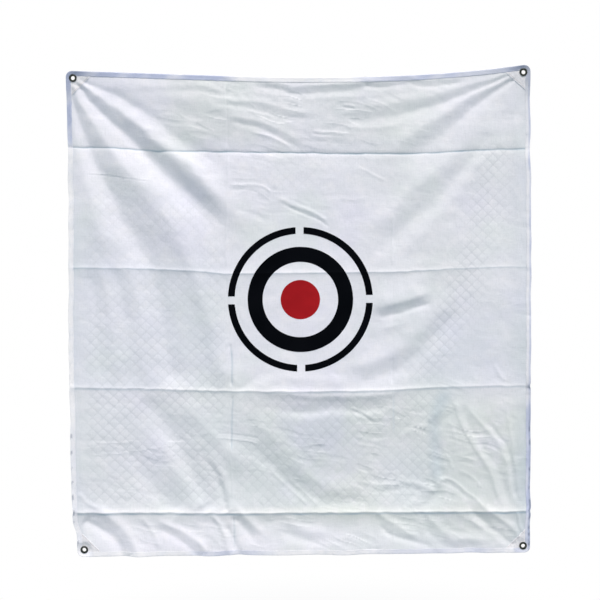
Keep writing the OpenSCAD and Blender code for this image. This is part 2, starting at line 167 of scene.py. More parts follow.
# Each fold is the line of a crest or a valley: points across and down, half width, height toward the
# front, the length over which it fades at an end, and its lean to one side. A pair says what a measure
# is at the fold's start and at its end, and a number is for both.
FOLDS = [
    # Fan out of the top left grommet, from its upper ray to its lower
    ([(100, 36), (240, 60), (340, 82), (440, 106), (540, 140), (650, 190)],
     (14, 60), (1.5, 6.5), (60, 170)),
    ([(44, 28), (100, 54), (173, 88), (270, 149), (350, 211), (430, 273), (500, 340)],
     (6, 36), (-1.4, -6.6), (20, 160)),
    ([(30, 26), (72, 58), (111, 88), (198, 149), (268, 211), (348, 273), (408, 334), (460, 396), (516, 457),
      (566, 508)], (6, 50), (2, 16.5), (12, 210)),
    ([(30, 32), (50, 60), (71, 88), (131, 149), (193, 211), (252, 273), (314, 334), (378, 396), (444, 457),
      (500, 512)], (6, 48), (-2.2, -17.5), (12, 200)),
    ([(26, 38), (40, 88), (77, 149), (115, 211), (156, 273), (210, 334), (262, 396), (308, 457), (345, 530),
      (380, 642)], (6, 72), (2, 21), (12, 350)),
    ([(240, 380), (308, 457), (350, 540), (388, 642), (425, 765), (456, 889), (482, 985)],
     (46, 38), 8.6, (200, 70)),
    ([(21, 46), (24, 92), (40, 149), (58, 211), (80, 273), (108, 334), (136, 396), (168, 457), (207, 519),
      (258, 642)], (5, 62), (-1.6, -21), (14, 300)),
    ([(170, 440), (214, 530), (258, 642), (282, 765), (302, 889), (322, 985)], (40, 34), -8.6, (170, 60)),
    ([(14, 80), (17, 149), (27, 211), (40, 273), (53, 334), (68, 396), (84, 457), (104, 519), (126, 590)],
     (5, 40), (1, 7.4), (40, 130)),
    ([(60, 590), (72, 642), (82, 765), (94, 889), (104, 970)], (18, 20), (-2.8, -2.4), 70),
    ([(100, 570), (110, 642), (130, 765), (140, 889), (150, 970)], (17, 18), (2.8, 2.4), (60, 70)),
    ([(136, 580), (150, 642), (176, 765), (176, 889)], (16, 18), -2.4, (60, 70)),
    ([(166, 570), (196, 642), (222, 765), (218, 889), (232, 970)], (18, 22), (2.8, 3), 60),
    # Fan out of the top right grommet
    ([(1362, 24), (1325, 30), (1230, 55), (1130, 80), (1050, 99), (980, 112), (880, 120), (760, 120)],
     (6, 30), (1.6, 3), (30, 160)),
    ([(1352, 34), (1310, 46), (1230, 80), (1130, 110), (1050, 136), (980, 150), (880, 158), (760, 156)],
     (6, 26), (-1.7, -3.2), (30, 160)),
    ([(1366, 32), (1318, 52), (1225, 94), (1148, 144), (1066, 194), (1010, 236), (940, 290)],
     (5, 36), (2.2, 5), (30, 140)),
    ([(1372, 38), (1318, 66), (1262, 108), (1205, 156), (1140, 207), (1075, 252), (1000, 310)],
     (6, 36), (-2.4, -5.4), (30, 150)),
    ([(1266, 150), (1184, 262), (1098, 334), (1030, 396), (968, 457), (896, 515)],
     (22, 40), (2.4, 6), (90, 110)),
    ([(1300, 180), (1240, 270), (1188, 334), (1128, 396), (1066, 457), (985, 519), (910, 560)],
     (22, 40), (-2.4, -6), (90, 110)),
    ([(1290, 250), (1215, 350), (1150, 420), (1080, 500), (1000, 575)], (22, 34), (2.2, 3), (60, 90)),
    ([(1345, 110), (1325, 250), (1300, 400), (1262, 540), (1210, 680), (1150, 800), (1090, 900)],
     (20, 60), (-2.5, -3.2), (60, 160)),
    ([(1360, 130), (1372, 300), (1376, 500), (1372, 760), (1360, 940)], (18, 30), (2.2, 2.6), (60, 160)),
    # Swags under the top edge
    ([(560, 40), (640, 46), (700, 53), (800, 52), (880, 46), (940, 38)], (8, 9), 2.2, (80, 60)),
    ([(560, 56), (640, 64), (700, 77), (800, 76), (880, 66), (940, 54)], (8, 11), (-2, -1.6), (90, 60)),
    ([(905, 34), (950, 42), (1000, 44)], 7, (1.6, 1.4), (15, 25)),
    ([(900, 52), (950, 62), (1000, 60), (1060, 52)], 8, (-2, -1.4), (20, 30)),
    ([(1040, 36), (1090, 42), (1150, 38), (1210, 34)], (6, 7), (1.4, 1.2), (20, 40)),
    ([(1030, 52), (1090, 60), (1150, 54), (1220, 46)], 7, (-1.5, -1.2), (25, 40)),
    ([(430, 84), (500, 94), (580, 100), (640, 116), (700, 132), (790, 140)], (7, 14), (1.3, 1.7), (80, 90)),
    ([(430, 100), (500, 108), (560, 117), (640, 138), (700, 152), (790, 160)],
     (8, 14), (-1.5, -1.8), (80, 90)),
    ([(480, 140), (540, 146), (590, 156), (640, 180), (700, 212), (780, 240)],
     (8, 14), (1.6, 1.7), (60, 100)),
    ([(480, 158), (540, 164), (585, 174), (630, 198), (690, 232), (740, 250)], (8, 13), -1.6, (60, 70)),
    ([(560, 188), (600, 198), (640, 216), (690, 240)], (5, 7), (1.3, 1.4), 30),
    ([(540, 120), (600, 136), (660, 158)], (5, 6), .9, (30, 40)),
    ([(835, 113), (885, 117)], 4, .9, 15),
    ([(835, 121), (885, 125)], 4, -.9, 15),
    ([(742, 188), (790, 193), (860, 203)], 4, (.9, .6), (15, 30)),
    ([(742, 197), (790, 202), (860, 211)], 4, (-.9, -.5), (15, 30)),
    ([(720, 100), (800, 92), (880, 90), (960, 80)], (10, 12), 1.2, (60, 70)),
    ([(820, 176), (900, 182), (980, 178), (1050, 160)], 9, 1, 50),
    ([(700, 216), (780, 222), (860, 232)], 8, (-.9, -.8), (30, 40)),
    ([(200, 46), (300, 50), (400, 50), (500, 58)], 14, 1, (60, 50)),
    ([(190, 62), (300, 68), (400, 66), (500, 76)], (14, 16), -1, (60, 50)),
    ([(380, 40), (440, 56), (490, 76)], (10, 12), 1.2, (30, 15)),
    # Panel two
    ([(50, 308), (130, 314), (200, 327), (270, 340)], 2.6, (.4, .3), (30, 40)),
    ([(50, 313), (130, 319), (200, 332), (270, 345)], 2.6, (-.4, -.3), (30, 40)),
    ([(496, 354), (560, 350), (600, 357), (624, 378)], (5, 4), (1.2, 1.1), (20, 15)),
    ([(500, 370), (550, 366), (590, 374)], (5, 4), -.8, (20, 15)),
    ([(625, 384), (690, 412), (750, 438), (795, 466)], 7, 1.6, (40, 20)),
    ([(640, 402), (700, 432), (755, 456), (800, 486)], 6, -1.4, (40, 20)),
    ([(500, 430), (560, 440), (620, 470)], (12, 10), (-1.2, -.9), 30),
    ([(820, 390), (870, 400), (920, 392)], 7, .8, 30),
    ([(880, 300), (940, 330), (980, 352)], 5, (.8, .7), 30),
    # Panel three
    ([(900, 730), (960, 722), (1020, 708), (1070, 692), (1120, 676)], (36, 26), (8.5, 7), 70, .45),
    ([(930, 762), (985, 757), (1030, 743), (1075, 727), (1115, 712)], (12, 9), -3, (40, 35)),
    ([(950, 800), (1000, 790), (1050, 770)], 12, (1.8, 1.2), 30),
    ([(1190, 670), (1120, 750), (1060, 815), (985, 872), (900, 912), (830, 935)], (34, 26), 3.6, 90),
    ([(1200, 724), (1135, 800), (1070, 866), (1000, 920), (920, 955), (850, 975)],
     (36, 22), (-4.4, -3.6), (90, 70)),
    ([(480, 960), (540, 900), (570, 850)], 30, (2.2, 1.6), (30, 60)),
    ([(500, 985), (560, 950), (620, 920)], (14, 16), (-1.8, -1.4), (20, 40)),
    ([(560, 975), (660, 950), (780, 955), (860, 970)], 18, (1.6, 1.8), (60, 50)),
    ([(1290, 900), (1310, 940), (1330, 970)], 7, 1, (30, 15)),
    # Panel four
    ([(560, 988), (640, 996), (760, 1002), (880, 1004), (990, 996), (1050, 986)], 12, 2.6, 90),
    ([(540, 1026), (640, 1046), (720, 1052), (800, 1042), (880, 1048), (960, 1034), (1040, 1020)],
     (26, 24), (-5.4, -4.4), 150, .3),
    ([(860, 1046), (900, 1070), (940, 1100)], 7, -1.2, (15, 20)),
    ([(850, 1036), (890, 1056), (935, 1084)], 6, (1.3, 1), (15, 20)),
    ([(330, 1000), (396, 1084), (446, 1150), (500, 1200), (560, 1240)], (34, 30), (5, 4.6), (70, 90)),
    ([(220, 1000), (280, 1080), (325, 1150), (352, 1220), (388, 1300), (420, 1366)],
     (38, 32), -5.6, (60, 30)),
    ([(250, 1090), (300, 1200), (350, 1280), (400, 1366)], (34, 30), (4.4, 6.6), (80, 30)),
    ([(160, 1120), (220, 1240), (290, 1330), (330, 1368)], (38, 32), (-4.2, -6), (90, 30)),
    ([(404, 1170), (442, 1224), (468, 1290), (486, 1364)], (17, 12), (3.4, 4), (60, 12)),
    ([(388, 1180), (424, 1230), (452, 1290), (472, 1364)], (17, 12), (-2.6, -4), (60, 12)),
    ([(430, 1132), (520, 1138), (575, 1148)], (4, 3.4), .9, (30, 20)),
    ([(430, 1118), (520, 1124), (580, 1134)], (4, 3.4), -.7, (30, 20)),
    ([(540, 1060), (600, 1112), (650, 1170), (705, 1236), (770, 1282), (850, 1290), (920, 1276)],
     (26, 24), (4, 3.2), 70),
    ([(530, 1140), (585, 1192), (640, 1250), (690, 1296), (760, 1332), (850, 1340), (930, 1318)],
     (24, 20), (-3.8, -3), 70),
    ([(600, 1230), (660, 1290), (720, 1346)], 6, 1.2, (30, 15)),
    ([(650, 1250), (700, 1300), (752, 1352)], 6, 1.2, (30, 15)),
    ([(920, 1298), (980, 1282), (1040, 1274), (1084, 1288), (1120, 1314)], (11, 9), (1.7, 1.5), (50, 15)),
    ([(940, 1310), (990, 1300), (1040, 1294), (1080, 1306)], (10, 9), (-1.3, -1.2), (40, 20)),
    ([(1010, 1366), (1060, 1330), (1110, 1296), (1150, 1256)], (16, 14), (1.5, 1.4), (15, 20)),
    ([(1050, 1368), (1100, 1334), (1150, 1304)], (18, 16), (-1.6, -1.4), (10, 30)),
    ([(1086, 1090), (1124, 1056), (1166, 1022)], 16, (1.9, 1.4), (15, 50)),
    ([(1104, 1114), (1146, 1078), (1194, 1040)], 15, (-1.9, -1.3), (15, 50)),
    ([(1000, 1140), (1050, 1110), (1096, 1098)], (14, 12), 1.8, (40, 15)),
    ([(1104, 1150), (1110, 1210), (1126, 1290)], (14, 12), 1.4, (40, 15)),
    ([(1122, 1150), (1130, 1210), (1146, 1270)], (14, 12), -1.4, (40, 15)),
    ([(1176, 1020), (1192, 1080), (1220, 1134), (1250, 1184), (1280, 1230), (1304, 1300), (1322, 1364)],
     (9, 12), (1.8, 2.2), (30, 60), .3),
    ([(1200, 1030), (1216, 1084), (1246, 1134), (1276, 1184), (1306, 1230), (1330, 1310), (1346, 1364)],
     14, (-1.7, -2.1), (30, 60)),
    ([(1214, 1040), (1260, 1092), (1298, 1136), (1322, 1186), (1336, 1244), (1347, 1306), (1368, 1362)],
     (8, 9), (1.7, 1.6), (30, 60)),
    ([(1270, 1080), (1316, 1136), (1342, 1184), (1352, 1260), (1364, 1330)],
     (8, 9), (-1.5, -1.8), (30, 20)),
    ([(1336, 1040), (1344, 1096), (1354, 1166), (1366, 1256), (1378, 1340)], (6, 8), (1.3, 1.6), (40, 20)),
    ([(1244, 1150), (1262, 1210), (1290, 1270), (1312, 1330)], (8, 9), (1.1, 1.2), 30),
    ([(1140, 1262), (1176, 1278), (1210, 1306), (1250, 1336), (1270, 1364)], (5, 6), 1.2, (15, 50)),
    ([(1134, 1272), (1170, 1290), (1206, 1320), (1240, 1350)], (7, 8), -1.1, (15, 50)),
    ([(1190, 1198), (1220, 1202), (1248, 1214)], 5, (.7, .6), (12, 15)),
    ([(1186, 1212), (1220, 1218), (1244, 1228)], 5, -.6, (12, 15)),
    ([(1140, 1170), (1165, 1212), (1176, 1250)], 7, .9, 20),
    ([(1186, 1240), (1230, 1262), (1262, 1300)], 6, .8, 20),
    ([(1156, 1080), (1176, 1130), (1182, 1190)], 8, (.9, .8), 20),
    ([(20, 1300), (50, 1334), (90, 1352)], 8, (1.6, 1.4), (15, 20)),
    ([(60, 1138), (140, 1142), (230, 1140)], 3, .45, (30, 50)),
    ([(50, 1180), (140, 1176), (230, 1164), (320, 1152)], 3, .45, (30, 50)),
    # Bottom panel
    ([(70, 1334), (98, 1362), (146, 1410), (178, 1460), (196, 1510)], (16, 22), (5, 6.5), (40, 1)),
    ([(30, 1380), (84, 1420), (126, 1465), (148, 1510)], (15, 20), (-5.4, -6.4), (15, 1)),
    ([(210, 1372), (240, 1420), (262, 1480)], (9, 10), 1.6, 20),
    ([(250, 1384), (308, 1412), (358, 1446), (412, 1486)], (10, 12), 2.8, (30, 20)),
    ([(250, 1408), (306, 1444), (350, 1476), (386, 1506)], (11, 13), (-2.6, -3), (30, 1)),
    ([(420, 1366), (460, 1430), (480, 1510)], 9, (2.4, 2.6), (20, 1)),
    ([(464, 1400), (488, 1450), (512, 1510)], (9, 12), (-2.4, -3.4), (20, 1)),
    ([(496, 1336), (514, 1362), (544, 1398), (592, 1450)], (12, 18), (3.4, 2.6), (30, 40)),
    ([(494, 1372), (524, 1416), (560, 1470)], (13, 16), (-3.6, -2), (10, 30)),
    ([(640, 1380), (720, 1420), (800, 1440)], (18, 16), (2.4, 2.2), 40),
    ([(620, 1420), (700, 1450), (780, 1470)], 15, (-2.2, -2), 40),
    ([(930, 1366), (984, 1404), (1030, 1436), (1070, 1450)], 12, (3, 2.4), (15, 30)),
    ([(940, 1406), (986, 1446), (1050, 1466), (1120, 1480)], 10, -2.6, (25, 30)),
    ([(1076, 1368), (1118, 1412), (1168, 1446), (1240, 1458), (1300, 1466)], (13, 14), 2.2, (15, 40)),
    ([(1084, 1420), (1130, 1464), (1180, 1484), (1260, 1488)], (11, 14), -2, (20, 30)),
    ([(1180, 1376), (1230, 1400), (1280, 1430)], 10, 1.8, (15, 30)),
    ([(1236, 1322), (1274, 1360), (1322, 1394), (1360, 1428), (1380, 1462)], (13, 11), (3, 2.8), (45, 25)),
    ([(1210, 1340), (1242, 1376), (1286, 1420), (1328, 1454), (1366, 1484)],
     (14, 11), (-3, -2.6), (45, 15)),
    ([(1366, 1370), (1386, 1440)], 6, 1.8, (10, 15)),
]

# Pressed level creases: points along each, its strength along the cloth, the height and reach of its
# sharp line, and the height and reach of the swell that carries it
LEVEL_CREASES = [
    ([(0, 232), (100, 233), (200, 240), (300, 247), (450, 250), (600, 254), (750, 258), (900, 262),
      (1000, 263), (1100, 262), (1200, 258), (1300, 254), (1410, 252)],
     [(0, .8), (350, .8), (450, 1.), (1000, 1.), (1100, .7), (1410, .5)], -3.3, 5, -2.2, 36),
    ([(0, 598), (100, 600), (200, 603), (300, 607), (400, 613), (470, 622), (940, 622), (1000, 622),
      (1100, 618), (1200, 613), (1300, 611), (1410, 611)],
     [(0, .6), (300, 1.), (1050, 1.), (1200, .5), (1410, .3)], 2.7, 6.5, 1.2, 40),
    ([(0, 968), (150, 972), (250, 975), (350, 979), (500, 985), (700, 988), (900, 988), (1000, 985),
      (1100, 980), (1200, 977), (1300, 976), (1410, 978)],
     [(0, .6), (300, .8), (450, 1.), (1000, 1.), (1200, .6), (1410, .4)], 3.4, 7, 1.8, 36),
    ([(0, 1361), (200, 1362), (500, 1367), (900, 1367), (1410, 1369)],
     [(0, 1.), (1410, 1.)], 4.2, 8, 2.6, 34),
]
STRAIGHT_U = (470, 940)        # crease 2 runs straight here, where the print crosses it

# Pressed upright creases: place, and the height of the line in each panel from one level to another
UPRIGHT_CREASES = [
    (486, [(20, 245, -1.6), (262, 605, 2.2), (625, 840, -1.6), (830, 975, -3.6),
           (992, 1160, -2.8), (1150, 1355, 1.4), (1372, 1495, -2.4)]),
    (988, [(440, 608, 2.0), (640, 870, -.7), (880, 975, -2.0), (995, 1130, 1.4), (1380, 1480, 1.2)]),
]
CREASE_CORE = 1.5              # rounds the very top of a pressed line
UPRIGHT_REACH = 6              # how far an upright crease's line reaches aside
UPRIGHT_FADE = 20              # the length over which each stretch of it fades at its ends


def noise(u, v, cell, seed, count=26):
    """Smooth random field, mostly from -1 to 1, made of waves about two cells long."""
    rng = np.random.default_rng(seed)
    total = np.zeros(np.shape(u + v))
    for _ in range(count):
        angle, phase = rng.uniform(0, 2 * pi, 2)
        k = pi / cell * rng.uniform(.55, 1.35)
        total += np.cos(k * (u * cos(angle) + v * sin(angle)) + phase)
    return total / np.sqrt(count / 2) * .6


def wave(x, cell, seed):
    """Such a field along one measure."""
    return noise(x, 0, cell, seed)


def curve(points, step=6.0):
    """Catmull-Rom curve through the points, sampled about every step millimetres."""
    p = np.array(points, float)
    p = np.vstack([2 * p[0] - p[1], p, 2 * p[-1] - p[-2]])
    out = []
    for a, b, c, d in zip(p, p[1:], p[2:], p[3:]):
        n = max(2, int(np.linalg.norm(c - b) / step))
        t = np.arange(n)[:, None] / n
        out.append(.5 * (2 * b + (c - a) * t + (2 * a - 5 * b + 4 * c - d) * t ** 2
                         + (3 * b - a - 3 * c + d) * t ** 3))
    return np.vstack(out + [p[-2][None]])


FOLD_LINES = [curve(fold[0]) for fold in FOLDS]
FOLD_REACH = 2.6               # a fold ends this many of its half widths from its line
NARROW_FOLD = 20               # the height of a fold with a smaller half width varies more along it


def add_fold(h, u, v, line, start, widths, heights, fades, lean=.0):
    """Adds one fold's height to h, at each point from the nearest place on the fold's line."""
    widths, heights, fades = (np.broadcast_to(measure, 2) for measure in (widths, heights, fades))
    along_line = run_along(*line.T)
    tangent = unit(np.gradient(line, axis=0))
    reach = FOLD_REACH * max(widths)
    low, high = line.min(0) - reach, line.max(0) + reach
    near = (u > low[0]) & (u < high[0]) & (v > low[1]) & (v < high[1])
    if not near.any():
        return
    places = np.stack([u[near], v[near]], axis=-1)
    best = np.full(len(places), np.inf)
    nearest = np.zeros(len(places), int)
    for k, point in enumerate(line):
        square = np.sum((places - point) ** 2, axis=-1)
        closer = square < best
        best[closer] = square[closer]
        nearest[closer] = k
    away, toward = (places - line[nearest]).T, tangent[nearest].T
    at = along_line[nearest] + away[0] * toward[0] + away[1] * toward[1]
    across = away[0] * toward[1] - away[1] * toward[0]
    share = np.clip(at / along_line[-1], 0, 1)
    width = widths[0] + (widths[1] - widths[0]) * share
    top = heights[0] + (heights[1] - heights[0]) * share
    width = width * (1 + lean * np.tanh(across / (.4 * width)))
    unsteady = .22 if max(widths) < NARROW_FOLD else .05
    vary = 1 + unsteady * np.sin(at / 53 + start[0]) * np.sin(at / 29 + start[1])
    ends = window(at, 0, fades[0], along_line[-1], fades[1])
    h[near] += top * ends * vary * np.exp(-np.abs(across / width) ** 1.8)


def hanging_folds(u, v):
    h = np.zeros(u.shape)
    warped = [x + 3 * noise(u, v, 110, seed) + noise(u, v, 30, seed + 1) for x, seed in ((u, 1), (v, 3))]
    for line, (points, *shape) in zip(FOLD_LINES, FOLDS):
        add_fold(h, *warped, line, points[0], *shape)
    return h


def crease_line(k, u):
    """How far down level crease k lies at each place across the cloth."""
    wobble = .8 * wave(u, 25, 20 + k)
    if k == PRINT_CREASE:
        wobble = wobble * (1 - window(u, STRAIGHT_U[0] - 30, 30, STRAIGHT_U[1] + 30, 30))
    return np.interp(u, *np.array(LEVEL_CREASES[k][0], float).T) + wobble


def upright_offset(k, u, v):
    """How far each place lies to the right of upright crease k."""
    return u - UPRIGHT_CREASES[k][0] - 3 * wave(v, 200, 40 + k) - .8 * wave(v, 30, 45 + k)


def pressed_creases(u, v):
    h = np.zeros(u.shape)
    for k, (_, strength, cusp, reach, swell, swell_reach) in enumerate(LEVEL_CREASES):
        d = v - crease_line(k, u)
        line = cusp * np.exp(-np.sqrt(d * d + CREASE_CORE) / reach) + swell * bell(d, 0, swell_reach)
        h += np.interp(u, *np.array(strength).T) * line
    for k, (_, parts) in enumerate(UPRIGHT_CREASES):
        line = np.exp(-np.sqrt(upright_offset(k, u, v) ** 2 + CREASE_CORE) / UPRIGHT_REACH)
        for top, low, cusp in parts:
            h += cusp * window(v, top, UPRIGHT_FADE, low, UPRIGHT_FADE) * line
    return h


# Where the cloth is finely wrinkled: middle across and down, half sizes, and strength
WRINKLED = [(640, 140, 280, 110, 1.1), (760, 1190, 330, 150, .8), (1160, 1190, 220, 160, 1.0),
            (700, 1440, 700, 55, 1.0), (640, 390, 170, 80, .6), (300, 130, 180, 80, .5),
            (1010, 150, 180, 80, .5), (240, 1200, 200, 120, .5)]
WRINKLE_TURN = radians(14)


def wrinkles(u, v):
    """Fine wrinkles that run mostly across, in places where the cloth was bunched."""
    along = u * cos(WRINKLE_TURN) + v * sin(WRINKLE_TURN)
    across = v * cos(WRINKLE_TURN) - u * sin(WRINKLE_TURN) + 5 * noise(u, v, 70, 65)
    field = noise(along / 3.0, across, 16, 66)
    h = .5 * bell(field, 0, .4) + .42 * field + .16 * noise(along / 2.2, across, 9, 68)
    strength = .22 + sum(amount * spot(u, v, *place) for *place, amount in WRINKLED)
    patchy = rise(noise(u, v, 75, 67), -.55, 1)
    off_print = rise(np.hypot(u - TARGET_U, v - TARGET_V), OUTER_R[1] + 5, 30)
    return h * np.minimum(strength, 1) * patchy * (.25 + .75 * off_print)


def crumple(u, v):
    """Small unevenness all over the cloth, with a few short nicks."""
    h = .9 * noise(u, v, 130, 59) + .5 * noise(u, v, 60, 60) + .26 * noise(u, v, 28, 61)
    nicks = np.exp(-np.abs(noise(u, v, 46, 63)) / .10) * np.clip(noise(u, v, 60, 64) * 2 - .9, 0, 1)
    return h + .10 * noise(u, v, 14, 62) + .18 * nicks + wrinkles(u, v)


# Small dents where creases run out, at or near the side edges: place, and depth
EDGE_NOTCHES = [(1406, 986, 5), (1406, 762, 2.5), (6, 1364, 4), (60, 1374, 4), (1404, 1372, 3)]


def curled_edges(u, v):
    """The side edges turn where the cloth hangs free, and the bottom edge comes forward under a hollow."""
    right = 7 * (window(v, 40, 60, 290, 80) + window(v, 1050, 90, 1400, 50))
    left = 4 * window(v, 40, 50, 250, 80) - 3 * window(v, 330, 100, 1400, 80)
    back = right * rise(u, CLOTH_W - 42, 42) ** 1.5 + left * fall(u, 30, 30) ** 1.5
    low = 6 * rise(v, 1390, 110) * (1 - .5 * rise(u, 900, 300))
    hollow = 5 * bell(u, 760, 380) * window(v, 1000, 260, 1362, 90)
    notches = sum(depth * np.exp(-np.hypot((u - at_u) / 1.3, v - at_v) / 7)
                  for at_u, at_v, depth in EDGE_NOTCHES)
    return low - hollow - back - notches


GROMMETS = [(u, v) for v in (GROMMET_INSET, CLOTH_H - GROMMET_INSET)
            for u in (GROMMET_INSET, CLOTH_W - GROMMET_INSET)]


def off_grommets(u, v, start, length):
    """0 within start of a grommet's centre, and 1 a length further out."""
    return np.prod([rise(np.hypot(u - gu, v - gv), start, length) for gu, gv in GROMMETS], axis=0)


def height(u, v):
    """Height of the middle of the cloth toward the front; it lies flat where a grommet grips it."""
    h = hanging_folds(u, v) + pressed_creases(u, v) + crumple(u, v) + curled_edges(u, v)
    return h * off_grommets(u, v, FLANGE_R + .5, 17)


def sway(u, v):
    """How far the cloth's free edges stray sideways, and down, from straight lines."""
    left = fall(u, 420, 420) * (-13 * window(v, 250, 800, CLOTH_H - GROMMET_INSET, 110)
                                + 1.3 * wave(v, 60, 91))
    right = rise(u, CLOTH_W - 300, 300) * (2.5 * window(v, 250, 200, CLOTH_H - 60, 100)
                                           + 1.3 * wave(v, 60, 92))
    pinch = 2.4 * sum(bell(v, crease_line(k, u), 7) for k in (2, 3))
    aside = left + right + pinch * (fall(u, 26, 26) - rise(u, CLOTH_W - 26, 26))
    low = rise(v, CLOTH_H - 90, 90) * 1.8 * wave(u, 70, 93)
    free = off_grommets(u, v, 32, 60)
    return aside * free, low * free


SLOPE_STEP = 0.8               # the distance over which a slope is taken


def surface(u, v):
    """Frame points, in metres, on the middle of the cloth, and its normals toward the front."""
    h = height(u, v)
    across = (height(u + SLOPE_STEP, v) - h) / SLOPE_STEP
    down = (height(u, v + SLOPE_STEP) - h) / SLOPE_STEP
    aside, low = sway(u, v)
    points = np.stack([u + aside - CLOTH_W / 2, -h, TOP_Z - v - low], axis=-1) * MM
    return points, unit(np.stack([-across, -np.ones_like(h), down], axis=-1))


# ---- mesh helpers

UV_NAME = "cloth"


def add_object(name, data):
    thing = bpy.data.objects.new(name, data)
    bpy.context.scene.collection.objects.link(thing)
    return thing


def new_piece(name, points, faces, material, uv, normals=None, flat=0):
    """Mesh object from points in metres. uv is each point's, in metres; normals are the corners' own.

    The last faces, as many as flat says, aren't shaded smooth.
    """
    mesh = bpy.data.meshes.new(name)
    mesh.from_pydata(points, [], faces)
    mesh.materials.append(material)
    mesh.polygons.foreach_set("use_smooth", np.arange(len(faces)) < len(faces) - flat)
    corner_points = np.zeros(len(mesh.loops), np.int32)
    mesh.loops.foreach_get("vertex_index", corner_points)
    layer = mesh.uv_layers.new(name=UV_NAME)
    layer.uv.foreach_set("vector", np.asarray(uv, np.float32)[corner_points].ravel())
    if normals is not None:
        mesh.normals_split_custom_set(normals)
    return add_object(name, mesh)


def add_amount(piece, name, values):
    """A number at each of the piece's points, which its material reads by name."""
    layer = piece.data.attributes.new(name, "FLOAT", "POINT")
    layer.data.foreach_set("value", np.asarray(values, np.float32).ravel())


def boundary(faces, count):
    """Directed edges that only one face has."""
    edges = np.array([(a, b) for f in faces for a, b in zip(f, f[1:] + f[:1])])
    both_ways = edges.min(1) * count + edges.max(1)
    _, first, uses = np.unique(both_ways, return_index=True, return_counts=True)
    return edges[np.sort(first[uses == 1])]


def thin_solid(name, u, v, faces, front, back, material):
    """Closed sheet on the hung surface, from back to front, in millimetres before its middle.

    front may differ from point to point. Both sides take the surface's own normals, so that two
    pieces that meet show no line between them.
    """
    points, normals = surface(u, v)
    count = len(points)
    first = points[faces[0]]
    if np.cross(first[1] - first[0], first[2] - first[1])[1] > 0:
        faces = [f[::-1] for f in faces]
    back_faces = [f[::-1] for f in faces]
    rim = boundary(faces, count)
    front = np.broadcast_to(front, count)[:, None]
    all_points = np.concatenate([points + normals * front * MM, points + normals * back * MM])
    all_faces = faces + [[i + count for i in f] for f in back_faces]
    all_faces += [[b, a, a + count, b + count] for a, b in rim.tolist()]
    run = all_points[rim[:, 0]] - all_points[rim[:, 1]]
    rim_normals = unit(np.cross(run, all_points[rim[:, 0] + count] - all_points[rim[:, 0]]))
    corner_normals = np.concatenate([normals[np.concatenate(faces)], -normals[np.concatenate(back_faces)],
                                     np.repeat(rim_normals, 4, axis=0)])
    uv = np.tile(np.stack([u, v], axis=-1) * MM, (2, 1))
    return new_piece(name, all_points, all_faces, material, uv, corner_normals, flat=len(rim))


def grid_faces(rows, columns, wrap=False):
    """Quads of a grid of points stored row by row, counterclockwise where rows run down."""
    return [[r * columns + c, (r + 1) * columns + c,
             (r + 1) * columns + (c + 1) % columns, r * columns + (c + 1) % columns]
            for r in range(rows - 1) for c in range(columns if wrap else columns - 1)]


PRESSED_DENSITY = 1.3          # how much denser than elsewhere a grid is on a pressed line
PRESSED_REACH = 9              # how far to either side of the line


def spaced(stops, step, pressed, samples=120):
    """Places through all the stops, about a step apart, and closer together near pressed lines."""
    out = [np.array([stops[0]], float)]
    for a, b in zip(stops[:-1], stops[1:]):
        x = np.linspace(a, b, samples)
        density = 1 + sum(PRESSED_DENSITY * bell(x, line, PRESSED_REACH) for line in pressed)
        total = np.concatenate([[0], np.cumsum((density[1:] + density[:-1]) / 2 * np.diff(x))])
        n = max(1, round(total[-1] / step))
        out.append(np.interp(np.linspace(0, total[-1], n + 1)[1:], total, x))
    return np.concatenate(out)


# ---- material helpers

def linear(*rgb):
    """Linear colour, for a shader, of an sRGB colour from 0 to 255."""
    c = np.array(rgb) / 255
    return (*np.where(c <= .04045, c / 12.92, ((c + .055) / 1.055) ** 2.4), 1.0)


def add_node(tree, kind, inputs=(), **settings):
    """Outputs of a new node. inputs, by name or in order, are other nodes' outputs or values."""
    node = tree.nodes.new("ShaderNode" + kind)
    for name, value in settings.items():
        setattr(node, name, value)
    for key, value in inputs.items() if isinstance(inputs, dict) else enumerate(inputs):
        if isinstance(value, bpy.types.NodeSocket):
            tree.links.new(value, node.inputs[key])
        elif value is not None:
            node.inputs[key].default_value = value
    return node.outputs


